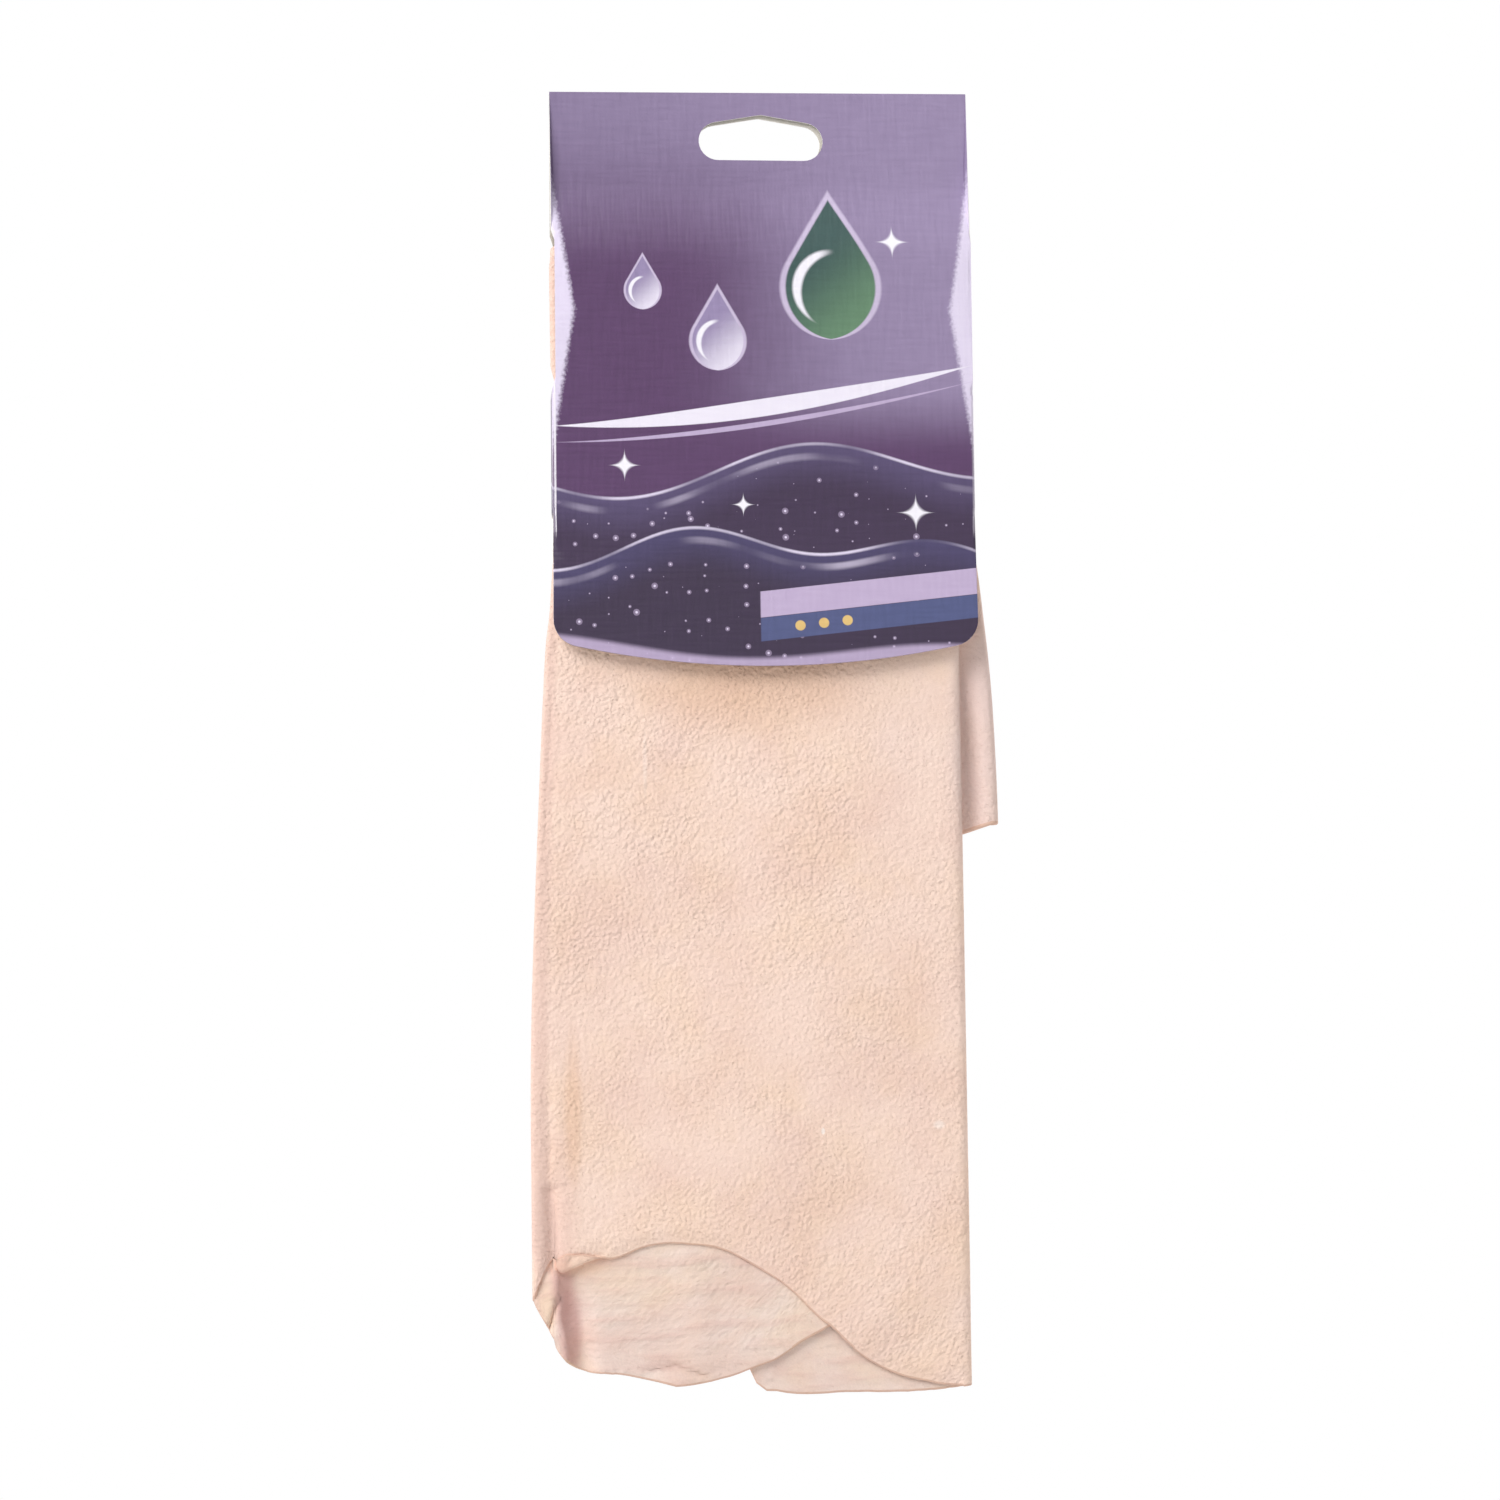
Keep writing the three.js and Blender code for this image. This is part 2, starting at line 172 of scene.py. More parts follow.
world = bpy.data.worlds.new("studio")
world.use_nodes = True
scene.world = world
tree = world.node_tree
tree.nodes.clear()
ray = outs(add(tree, "ShaderNodeLightPath"))
white_rays = calc("MAXIMUM", ray["Is Camera Ray"], ray["Is Glossy Ray"])
white_rays = calc("MAXIMUM", white_rays, ray["Is Transmission Ray"])
sky = out(tree, "ShaderNodeBackground", {"Color": (1, 1, 1, 1), "Strength": sky_level})
white = out(tree, "ShaderNodeBackground", {"Color": (1, 1, 1, 1), "Strength": 1.0})
both = out(tree, "ShaderNodeMixShader", {0: white_rays, 1: sky, 2: white})
add(tree, "ShaderNodeOutputWorld", {"Surface": both})

for name, place, size, power in lamps:
    lamp = bpy.data.lights.new(name, "AREA")
    lamp.shape = "RECTANGLE"
    lamp.size, lamp.size_y = size
    lamp.energy = power
    holder = bpy.data.objects.new(name, lamp)
    aim = Vector(place) - view_centre
    holder.matrix_world = Matrix.Translation(place) @ aim.to_track_quat("Z", "Y").to_matrix().to_4x4()
    holder.visible_camera = False
    scene.collection.objects.link(holder)

floor_mesh = bpy.data.meshes.new("floor")
floor_corners = [
    (x * floor_reach, y * floor_reach, floor_height) for x, y in ((-1, -1), (1, -1), (1, 1), (-1, 1))
]
floor_mesh.from_pydata(floor_corners, [], [(0, 1, 2, 3)])
floor = bpy.data.objects.new("floor", floor_mesh)
scene.collection.objects.link(floor)
material, tree = blank_material("pale_floor")
flat_place = stretched(out(tree, "ShaderNodeTexCoord", output="Object"), (1, 1, 0))
distance = out(tree, "ShaderNodeVectorMath", {0: flat_place}, "Value", operation="LENGTH")
seen = out(tree, "ShaderNodeLightPath", output="Is Camera Ray")
pale = out(tree, "ShaderNodeBsdfDiffuse", {"Color": (0.9, 0.9, 0.9, 1)})
glow = out(tree, "ShaderNodeEmission", {"Color": (1, 1, 1, 1), "Strength": 1.0})
faded = ramp(distance, floor_fade_from, floor_fade_to) * seen
both = out(tree, "ShaderNodeMixShader", {0: faded, 1: pale, 2: glow})
add(tree, "ShaderNodeOutputMaterial", {"Surface": both})
floor_mesh.materials.append(material)

# Card sleeve
# One blank of half-millimetre folding boxboard, printed and laminated outside and grey-white inside. It is
# cut flat, creased, folded round into a flat tube, closed by a glued seam flap, and glued round the slot.
mm = 0.001
board = 0.5
tab_glue_film = 0.3
seam_glue_film = 0.3
sleeve_inside = 9.5  # from front panel to back panel
crease_radius = 0.6
crease_steps, corner_steps, bow_steps, slot_end_steps, slot_peak_steps = 6, 8, 30, 14, 4
card_left, card_right = -54.25, 53.35
card_top = 5.8
window_top, window_bottom = -31.1, -72.5
window_inset, window_taper = 1.0, 3.0
front_right_inset = 0.12
top_tilt = 0.35  # up at the right corner and down at the left one
wall_bottom = -104.0
card_bottom = -143.3
bow_rise = 6.4
corner_radius = 7.0
parting_from, parting_to = -17.0, -38.0  # from the glued tab down to where the tube is fully open
flap_flare, flare_power = 2.0, 1.5
flap_warp, warp_scale = 0.22, 24.0
crease_fade = 2.0
seam_flap_tip = 37.85
seam_flap_inset, seam_flap_taper = 1.0, 3.0
slot_half, slot_height, slot_end_radius, slot_peak_radius = 16.0, 11.9, 5.0, 2.5
back_slot_shift = (0.7, -0.8)  # the back panel's slot lies this much left of the front one's, and lower
blank_pitch = 2.4
shortest_side = 0.45
same_place, merge_reach = 1e-4, 1e-5
weld_reach = 0.002
sharp_angle = 40
map_span = 250.0  # of the blank's own map, both ways

apart = (sleeve_inside + board) / 2  # from the middle plane to each panel's own
together = (tab_glue_film + board) / 2
crease_left, crease_right = card_left + board / 2 + crease_radius, card_right - board / 2 - crease_radius
seam_flap_deep = sleeve_inside / 2 - seam_glue_film - board / 2
quarter = crease_radius * math.pi / 2  # of a turn, along the board


def arc(centre, radius, start, end, steps):
    """Points on a circle, from one angle in radians to another."""
    return [
        (centre[0] + radius * math.cos(a), centre[1] + radius * math.sin(a))
        for a in np.linspace(start, end, steps + 1)
    ]


def crease(across, deep, start):
    return arc((across, deep), crease_radius, math.radians(start), math.radians(start + 90), crease_steps)


# The folded board seen from above, from the back panel's free edge round to the seam flap's tip
fold_path = [(card_right, apart)]
fold_path += crease(crease_left, apart - crease_radius, 90)
fold_path += crease(crease_left, crease_radius - apart, 180)
front_from = len(fold_path) - 1
fold_path += crease(crease_right, crease_radius - apart, 270)
fold_path += crease(crease_right, seam_flap_deep - crease_radius, 0)
fold_path += [(seam_flap_tip, seam_flap_deep)]
lengths = np.hypot(*np.diff(np.array(fold_path), axis=0).T)
path_places = np.concatenate([[0], np.cumsum(lengths)])
path_places += crease_left - path_places[front_from]  # so that the front panel lies flat at its own X
blank_left, blank_right = path_places[0], path_places[-1]
wall_end, flap_crease = path_places[-2 - crease_steps], path_places[-2]
back_middle = blank_left + (card_right - card_left) / 2
back_left_edge = blank_left + card_right - card_left  # of the panel, above and below the wall's crease


def bowed_edge(middle):
    """A panel's lower edge from left to right: a corner, the shallow bow and the other corner."""
    half = (card_right - card_left) / 2
    bow_radius = (half**2 + bow_rise**2) / (2 * bow_rise)
    corner_across = half - corner_radius
    swing = math.asin(corner_across / (bow_radius - corner_radius))
    bow_centre = card_bottom + bow_radius
    corner_up = bow_centre - (bow_radius - corner_radius) * math.cos(swing)
    down = 1.5 * math.pi
    left, right = (middle - corner_across, corner_up), (middle + corner_across, corner_up)
    points = arc(left, corner_radius, math.pi, down - swing, corner_steps)
    points += arc((middle, bow_centre), bow_radius, down - swing, down + swing, bow_steps)[1:-1]
    return points + arc(right, corner_radius, down + swing, 2 * math.pi, corner_steps)


def window_side(edge, inward, inset, top):
    """The side of a panel from the wall up to the tab's corner, with its half of the window."""
    cut = edge + inward * inset
    return [
        (edge, window_bottom),
        (cut, window_bottom + window_taper),
        (cut, window_top - window_taper),
        (edge, window_top),
        (edge, top),
    ]


def slot_outline(shift_across, shift_up):
    end_across = slot_half - slot_end_radius
    end_up = slot_end_radius - slot_height
    rise = -slot_peak_radius - end_up
    lean = math.acos((slot_peak_radius - slot_end_radius) / math.hypot(end_across, rise))
    slope = math.atan2(-rise, end_across) + lean
    points = arc((end_across, end_up), slot_end_radius, -math.pi / 2, slope, slot_end_steps)
    points += arc((0, -slot_peak_radius), slot_peak_radius, slope, math.pi - slope, slot_peak_steps)
    points += arc((-end_across, end_up), slot_end_radius, math.pi - slope, 1.5 * math.pi, slot_end_steps)
    return [(x + shift_across, z + shift_up) for x, z in points]


flap_top, flap_bottom = window_bottom - seam_flap_inset, wall_bottom + seam_flap_inset
outline = bowed_edge(back_middle)
outline += [(back_left_edge, wall_bottom), (card_left, wall_bottom)]
outline += bowed_edge((card_left + card_right) / 2)
outline += [(card_right, wall_bottom), (wall_end, wall_bottom), (flap_crease, flap_bottom)]
outline += [(blank_right, flap_bottom + seam_flap_taper), (blank_right, flap_top - seam_flap_taper)]
outline += [(flap_crease, flap_top), (wall_end, window_bottom)]
outline += window_side(card_right, -1, front_right_inset, card_top + top_tilt)
outline += window_side(card_left, 1, window_inset, card_top - top_tilt)[::-1]
outline += window_side(back_left_edge, -1, window_inset, card_top - top_tilt)
outline += window_side(blank_left, 1, window_inset, card_top + top_tilt)[::-1]
back_slot = slot_outline(blank_left + card_right + back_slot_shift[0], back_slot_shift[1])
loops = [outline, slot_outline(0, 0), back_slot]


def edges():
    """Start and end of each stretch of the outline and the slots."""
    for loop in loops:
        for start, end in zip(np.array(loop), np.roll(loop, -1, axis=0)):
            if math.dist(start, end) > 0:
                yield start, end


def on_board(points):
    """True where a point is inside the outline and in neither slot."""
    crossings = np.zeros(len(points), int)
    for (x0, z0), (x1, z1) in edges():
        spans = (z0 > points[:, 1]) != (z1 > points[:, 1])
        slant = (x1 - x0) / (z1 - z0) if z1 != z0 else 0
        crossings += spans & (points[:, 0] < x0 + slant * (points[:, 1] - z0))
    return crossings % 2 == 1


def line_distance(points, start, end):
    """How far points lie from a straight stretch."""
    along = end - start
    share = np.clip((points - start) @ along / (along @ along), 0, 1)
    return np.linalg.norm(points - start - share[..., None] * along, axis=-1)


def stops(low, high, pitch):
    return np.linspace(low, high, max(2, round(abs(high - low) / pitch) + 1))


flat_stops = [stops(a, b, blank_pitch) for a, b in zip(path_places[:-1], path_places[1:])]
across_stops = np.unique(np.round(np.concatenate(flat_stops), 4))
up_stops = np.unique(np.concatenate([
    stops(card_bottom, parting_to, blank_pitch),
    stops(parting_to, parting_from, blank_pitch / 2),
    stops(parting_from, card_top, blank_pitch),
]))
lattice = np.array([(x, z) for x in across_stops for z in up_stops])
lattice = lattice[on_board(lattice)]
lattice = lattice[np.min([line_distance(lattice, *ends) for ends in edges()], axis=0) > shortest_side]
corners, borders = [], []
for loop in loops:
    first = len(corners)
    distinct = [p for p, q in zip(loop, loop[-1:] + loop[:-1]) if math.dist(p, q) > same_place]
    corners += distinct
    borders += [(first + i, first + (i + 1) % len(distinct)) for i in range(len(distinct))]
flat_points = [Vector(p) for p in corners + lattice.tolist()]
flat_points, _, triangles, *_ = delaunay_2d_cdt(flat_points, borders, [], 1, merge_reach)
places = np.array([tuple(p) for p in flat_points])
triangles = np.array(triangles)
triangles = triangles[on_board(places[triangles].mean(axis=1))]


def add_map(mesh, name, places, origin, span):
    """A UV map of a mesh, from its corners' places in millimetres on something flat."""
    layout = ((places - origin) / span).astype(np.float32)
    mesh.uv_layers.new(name=name).data.foreach_set("uv", layout.ravel())


def corner_points(mesh):
    return np.array([loop.vertex_index for loop in mesh.loops])


blank_mesh = bpy.data.meshes.new("flat_blank")
blank_mesh.from_pydata([(x * mm, 0, z * mm) for x, z in places], [], triangles.tolist())
map_origin = np.array([blank_left, card_bottom])
add_map(blank_mesh, "blank", places[corner_points(blank_mesh)], map_origin, map_span)
flat_blank = bpy.data.objects.new("flat_blank", blank_mesh)
scene.collection.objects.link(flat_blank)

path_curve = bpy.data.curves.new("fold_path", "CURVE")
path_curve.dimensions = "3D"
spline = path_curve.splines.new("POLY")
spline.points.add(len(fold_path) - 1)
for point, (x, y) in zip(spline.points, fold_path):
    point.co = (x * mm, y * mm, 0, 1)
path_object = bpy.data.objects.new("fold_path", path_curve)
scene.collection.objects.link(path_object)

printed_face, print_tree = blank_material("printed_face")
plain_face, plain_tree = blank_material("plain_inside")
cut_board, cut_tree = blank_material("cut_board")

# Folding: each panel stands at its depth, and the walls and the seam flap follow the path round the creases
fold_inputs = {
    "Flat blank": None,
    "Fold path": path_object,
    "Blank left": blank_left * mm,
    "Panel right": card_right * mm,
    "Half depth": apart * mm,
    "Tab half depth": together * mm,
    "Parting from": parting_from * mm,
    "Parting to": parting_to * mm,
    "Wall top": window_bottom * mm,
    "Wall bottom": wall_bottom * mm,
    "Card bottom": card_bottom * mm,
    "Crease fade": crease_fade * mm,
    "Flap flare": flap_flare * mm,
    "Flap warp": flap_warp * mm,
    "Board": board * mm,
    "Printed": printed_face,
    "Plain": plain_face,
    "Cut": cut_board,
}
socket_kinds = {"NoneType": "Geometry", "Object": "Object", "Material": "Material"}


def parts(place):
    return outs(add(tree_of(place), "ShaderNodeSeparateXYZ", {0: place}))


def blend(share, low, high):
    return out(tree_of(share), "ShaderNodeMix", {0: share, 2: low, 3: high})


fold = bpy.data.node_groups.new("fold_blank", "GeometryNodeTree")
for name, value in fold_inputs.items():
    kind = "NodeSocket" + socket_kinds.get(type(value).__name__, "Float")
    fold.interface.new_socket(name=name, in_out="INPUT", socket_type=kind)
fold.interface.new_socket(name="Folded card", in_out="OUTPUT", socket_type="NodeSocketGeometry")
given = outs(add(fold, "NodeGroupInput"))
flat_position = out(fold, "GeometryNodeInputPosition")
flat = parts(flat_position)
across, up = flat["X"], flat["Z"]
path = out(fold, "GeometryNodeObjectInfo", {"Object": given["Fold path"]}, "Geometry")
travelled = across - given["Blank left"]
path_feeds = {"Curves": path, "Length": travelled}
folded = parts(out(fold, "GeometryNodeSampleCurve", path_feeds, "Position", mode="LENGTH"))
front = calc("LESS_THAN", folded["Y"], 0)
flat_across = blend(front, given["Panel right"] - travelled, across)
spread = ramp(up, given["Parting from"], given["Parting to"], given["Tab half depth"], given["Half depth"])
below_wall = ramp(up, given["Wall bottom"], given["Card bottom"], kind="LINEAR")
flared = calc("POWER", below_wall, flare_power) * given["Flap flare"]
warp = out(fold, "ShaderNodeTexNoise", {"Vector": flat_position, "Scale": warp_scale, "Detail": 1.0})
warp = warp * ramp(up, given["Wall bottom"], given["Card bottom"]) * given["Flap warp"]
flat_deep = calc("SIGN", folded["Y"]) * spread - (flared + warp) * front
folded_deep = folded["Y"] * spread / given["Half depth"]
creased = ramp(up, given["Wall top"] + given["Crease fade"], given["Wall top"])
creased = creased * ramp(up, given["Wall bottom"] - given["Crease fade"], given["Wall bottom"])
new_across, new_deep = blend(creased, flat_across, folded["X"]), blend(creased, flat_deep, folded_deep)
place = out(fold, "ShaderNodeCombineXYZ", {0: new_across, 1: new_deep, 2: up})
middle = out(fold, "GeometryNodeSetPosition", {"Geometry": given["Flat blank"], "Position": place})
normal = out(fold, "GeometryNodeInputNormal")
inward = out(fold, "ShaderNodeVectorMath", {0: normal, "Scale": given["Board"] * -0.5}, operation="SCALE")
inner = out(fold, "GeometryNodeSetPosition", {"Geometry": middle, "Offset": inward})
thick = {"Mesh": inner, "Offset": normal, "Offset Scale": given["Board"], "Individual": False}
raised = outs(add(fold, "GeometryNodeExtrudeMesh", thick, mode="FACES"))
printed = out(fold, "GeometryNodeSetMaterial", {"Geometry": raised["Mesh"], "Material": given["Printed"]})
cut_sides = {"Geometry": printed, "Selection": raised["Side"], "Material": given["Cut"]}
edged = out(fold, "GeometryNodeSetMaterial", cut_sides)
lining = out(fold, "GeometryNodeFlipFaces", {"Mesh": inner})
lining = out(fold, "GeometryNodeSetMaterial", {"Geometry": lining, "Material": given["Plain"]})
joined = add(fold, "GeometryNodeJoinGeometry")
feed(joined.inputs[0], lining)
feed(joined.inputs[0], edged)
weld = {"Geometry": Value(joined.outputs[0]), "Distance": weld_reach * mm}
add(fold, "NodeGroupOutput", {0: out(fold, "GeometryNodeMergeByDistance", weld)})


def grown(source, tree, inputs, name):
    """The result of a Geometry Nodes tree on an object, as a plain mesh of its own."""
    modifier = source.modifiers.new(tree.name, "NODES")
    modifier.node_group = tree
    sockets = {item.name: item.identifier for item in tree.interface.items_tree if item.in_out == "INPUT"}
    for key, value in inputs.items():
        if value is not None:
            modifier[sockets[key]] = value
    graph = bpy.context.evaluated_depsgraph_get()
    mesh = bpy.data.meshes.new_from_object(
        source.evaluated_get(graph), preserve_all_data_layers=True, depsgraph=graph
    )
    mesh.name = name
    result = bpy.data.objects.new(name, mesh)
    scene.collection.objects.link(result)
    bpy.data.objects.remove(source)
    return result


card = grown(flat_blank, fold, fold_inputs, "card_sleeve")
bpy.data.objects.remove(path_object)
card.data.shade_smooth()
card.data.set_sharp_from_angle(angle=math.radians(sharp_angle))


def ink(code, alpha=1.0):
    """A colour written as it looks, in the linear values that shaders take."""
    levels = [int(code[i : i + 2], 16) / 255 for i in (0, 2, 4)]
    return (*((c / 12.92 if c <= 0.04045 else ((c + 0.055) / 1.055) ** 2.4) for c in levels), alpha)


def tint(share, under, over, kind="MIX"):
    """The second colour laid over the first one."""
    feeds = {0: share, 6: under, 7: over}
    tree = tree_of(*feeds.values())
    return out(tree, "ShaderNodeMix", feeds, 2, data_type="RGBA", blend_type=kind)


def finish_surface(tree, colour, height, depth, roughness, **constants):
    """A Principled surface with its colour, roughness and relief."""
    relief = out(tree, "ShaderNodeBump", {"Height": height, "Distance": depth, "Strength": 1.0})
    feeds = {"Base Color": colour, "Roughness": roughness, "Normal": relief, **constants}
    add(tree, "ShaderNodeOutputMaterial", {"Surface": out(tree, "ShaderNodeBsdfPrincipled", feeds)})


def map_place(tree, name, origin, span):
    """Millimetres on something flat, from a piece's UV map: a vector, and its parts across and along."""
    uv = out(tree, "ShaderNodeUVMap", uv_map=name)
    feeds = {"Vector": uv, "Scale": (span, span, 1), "Location": (*origin, 0)}
    place = out(tree, "ShaderNodeMapping", feeds)
    split = parts(place)
    return place, split["X"], split["Y"]


def new_group(name, inputs, outputs):
    """A shader node group with named sockets; a value of three numbers makes a vector socket."""
    group = bpy.data.node_groups.new(name, "ShaderNodeTree")
    for label, value in inputs.items():
        kind = "NodeSocketVector" if isinstance(value, tuple) else "NodeSocketFloat"
        group.interface.new_socket(name=label, in_out="INPUT", socket_type=kind).default_value = value
    for label in outputs:
        group.interface.new_socket(name=label, in_out="OUTPUT", socket_type="NodeSocketFloat")
    return group, outs(add(group, "NodeGroupInput"))


def use(tree, group, **feeds):
    """A node group in a tree; the words of its inputs' names are joined by underscores."""
    named = {key.replace("_", " ").capitalize(): value for key, value in feeds.items()}
    return outs(add(tree, "ShaderNodeGroup", named, node_tree=group))


def shrunk(place, size):
    """A place counted in features of a size."""
    return out(tree_of(place), "ShaderNodeVectorMath", {0: place, "Scale": 1.0 / size}, operation="SCALE")


def cloud(place, scale=1.0, detail=2.0, **more):
    """Soft noise from 0 to 1."""
    feeds = {"Vector": place, "Scale": scale, "Detail": detail, **more}
    return out(tree_of(place), "ShaderNodeTexNoise", feeds)


def noise(place, size, detail=2.0, stretch=(1, 1, 1)):
    """Soft noise with features of about that size, in the units of the place."""
    return cloud(stretched(place, tuple(s / size for s in stretch)), 1.0, detail)


# Printed spot: a soft-edged ellipse, from its own middle
spot_inputs = {"Across": 0.0, "Up": 0.0, "Half width": 1.0, "Half height": 1.0, "Softness": 0.05}
spot, given = new_group("printed_spot", spot_inputs, ["Mask"])
a, b = given["Across"] / given["Half width"], given["Up"] / given["Half height"]
edge_out, edge_in = given["Softness"] + 1.0, 1.0 - given["Softness"]
add(spot, "NodeGroupOutput", {0: ramp(calc("SQRT", a * a + b * b), edge_out, edge_in)})


def spot_at(across, up, at, level, half_width, half_height, softness):
    """The mask of a soft-edged ellipse round a place."""
    sizes = {"half_width": half_width, "half_height": half_height, "softness": softness}
    return use(tree_of(across), spot, across=across - at, up=up - level, **sizes)["Mask"]


# Printed water drop: a round foot and a straight-sided tip twice its radius up
water_drop, given = new_group(
    "printed_drop", {"Across": 0.0, "Up": 0.0, "Radius": 1.0}, ["Mask", "Inside", "Side", "Height"]
)
a, b = given["Across"] / given["Radius"], given["Up"] / given["Radius"]
foot = calc("SQRT", calc("MAXIMUM", 1.0 - b * b, 0.0))
tip_from, tip_slope = 0.5, 0.577  # where the straight sides touch the round foot
half_width = blend(calc("GREATER_THAN", b, tip_from), foot, (2.0 - b) * tip_slope)
inside = half_width - abs(a)
add(water_drop, "NodeGroupOutput", {0: ramp(inside, 0.0, 0.07), 1: inside, 2: a, 3: b})

# Printed sparkle: a star of four concave sides
sparkle, given = new_group("printed_sparkle", {"Across": 0.0, "Up": 0.0, "Reach": 4.0}, ["Mask"])
arms = [calc("SQRT", abs(given[name]) / given["Reach"]) for name in ("Across", "Up")]
add(sparkle, "NodeGroupOutput", {0: ramp(arms[0] + arms[1], 1.05, 0.75)})

# Printed wave: how far a place is under a rolling crest, in millimetres
wave_inputs = {"Across": 0.0, "Up": 0.0, "Level": 0.0, "Height": 5.0, "Length": 60.0, "Start": 0.0}
wave, given = new_group("printed_wave", wave_inputs, ["Under"])
angle = given["Across"] / given["Length"] * (2 * math.pi) + given["Start"]
roll_up = calc("SINE", angle) + calc("SINE", angle * 0.47) * 0.8
add(wave, "NodeGroupOutput", {0: roll_up * given["Height"] + given["Level"] - given["Up"]})


def under_crest(across, up, level, height, length, start):
    crest = {"level": level, "height": height, "length": length, "start": start}
    return use(tree_of(across), wave, across=across, up=up, **crest)["Under"]


# Linen embossing of the laminate: uneven threads both ways
linen, given = new_group("linen_emboss", {"Place": (0.0, 0.0, 0.0), "Thread": 1.2}, ["Height"])
scaled = shrunk(given["Place"], given["Thread"])
threads = [cloud(stretched(scaled, way), 1.0, 1.0) for way in ((1.0, 0.12, 1.0), (0.12, 1.0, 1.0))]
add(linen, "NodeGroupOutput", {0: threads[0] + threads[1]})

# Paper fibre, for the plain side and the cut edge
paper_fibre, given = new_group("paper_fibre", {"Place": (0.0, 0.0, 0.0), "Fibre": 0.001}, ["Height", "Speck"])
scaled = shrunk(given["Place"], given["Fibre"])
fibres = cloud(scaled, 1.0, 5.0, Distortion=1.5)
specks = out(paper_fibre, "ShaderNodeTexVoronoi", {"Vector": scaled, "Scale": 0.35}, "Distance")
add(paper_fibre, "NodeGroupOutput", {0: fibres, 1: ramp(specks, 0.16, 0.05)})

# The print, drawn in millimetres on the flat blank: a light ground that darkens to the left and downwards,
# its light top-right corner partly a painted highlight of the laminate's sheen, water drops, two sweeping
# stripes, and dark glossy waves with beads on them. A pair of places in brackets is where the soft edge of a
# form begins and where it ends.
tree = print_tree
place, across, up = map_place(tree, "blank", map_origin, map_span)
ground_light_and_sheen, ground_plain, ground_dark = ink("9080A2"), ink("7F6F90"), ink("50335A")
lilac, pale_lilac, slate, gold = ink("BBA8C9"), ink("DDD2EA"), ink("49507A"), ink("DDB873")
drop_deep, drop_green, drop_grey, drop_pale = ink("2F4A48"), ink("5E8163"), ink("8F80A6"), ink("E6DEF0")
drop_rim, drop_shine, star_white, label_lilac = ink("C4B5D2"), ink("F4F0FA"), ink("F6F2FC"), ink("B7A9C4")

shade_patch, shade_wander, light_slant = 22.0, 14.0, 0.4
light_side, shade_side, shade_down, dark_foot = (-60, 50), (34, -20), (2, -46), (-70, -90)
front_reach = 60.0  # past the front panel's sides, and short of the back panel and the seam flap
leftward = ramp(across + noise(place, shade_patch) * shade_wander, *shade_side)
# Painted highlight, in part: the ground lightens towards the top-right corner as the laminate's broad sheen
# would
sheen_and_print_corner = ramp(across + up * light_slant, *light_side)
colour = tint(sheen_and_print_corner, ground_plain, ground_light_and_sheen)
colour = tint(ramp(up, *shade_down) * leftward, colour, ground_dark)
colour = tint(ramp(up, *dark_foot), colour, ground_dark)

# Pale fleecy edging beside the side windows, widest at their middle
window_middle, fleece_slant, fleece_tuft, fleece_rag = -52.0, 0.16, 0.8, 1.9
fleece_inner, fleece_outer = (7.6, 5.8), (-1.2, -0.8)
ragged = noise(place, fleece_tuft, 3.0) * fleece_rag
for edge, sign in ((card_left, 1), (card_right, -1)):
    away = (across - edge) * sign
    reach = away + abs(up - window_middle) * fleece_slant + ragged
    colour = tint(ramp(reach, *fleece_inner) * ramp(away, *fleece_outer), colour, pale_lilac)

# Waves, with a shine under the crest, a streak, a bright rim, and beads of random sizes
shine_depth, shine_share = 13, 0.75
streak_top, streak_foot, streak_share = (2.4, 3.2), (5.0, 3.8), 0.6
streak_gaps, streak_broken, rim_gaps, rim_broken = 26.0, (0.42, 0.7), 30.0, (0.3, 0.62)
wave_rim, wave_top, beads_begin = (1.1, 0.45), (-0.15, 0.35), (3.0, 5.0)
bead_halo, halo_share, bead_heart = (1.0, 0.8), 0.4, (0.45, 0.2)
bead_density, bead_range, bead_cut, least_bead = 0.21, 0.3, 0.1, 0.001
bead_feeds = {"Vector": place, "Scale": bead_density}
beads = outs(add(tree, "ShaderNodeTexVoronoi", bead_feeds, voronoi_dimensions="2D"))
bead_chance = out(tree, "ShaderNodeSeparateColor", {0: beads["Color"]})
bead_depth = beads["Distance"] / calc("MAXIMUM", bead_chance * bead_range - bead_cut, least_bead)
for level, height, length, start, code, top_code in (
    (-93.0, 4.5, 88.0, 0.9, "33223F", "55496F"),
    (-113.0, 3.5, 64.0, 3.6, "2C1D38", "453E66"),
):
    under = under_crest(across, up, level, height, length, start)
    wave_colour = tint(ramp(under, shine_depth, 0) * shine_share, ink(code), ink(top_code))
    streak = ramp(under, *streak_top) * ramp(under, *streak_foot)
    streak = streak * ramp(noise(place, streak_gaps, 1.0), *streak_broken)
    wave_colour = tint(streak * streak_share, wave_colour, pale_lilac)
    rim = ramp(under, *wave_rim) * ramp(noise(place, rim_gaps, 1.0), *rim_broken)
    wave_colour = tint(rim, wave_colour, pale_lilac)
    colour = tint(ramp(under, *wave_top), colour, wave_colour)
    beaded = ramp(under, *beads_begin)
    colour = tint(ramp(bead_depth, *bead_halo) * beaded * halo_share, colour, lilac)
    colour = tint(ramp(bead_depth, *bead_heart) * beaded, colour, pale_lilac)

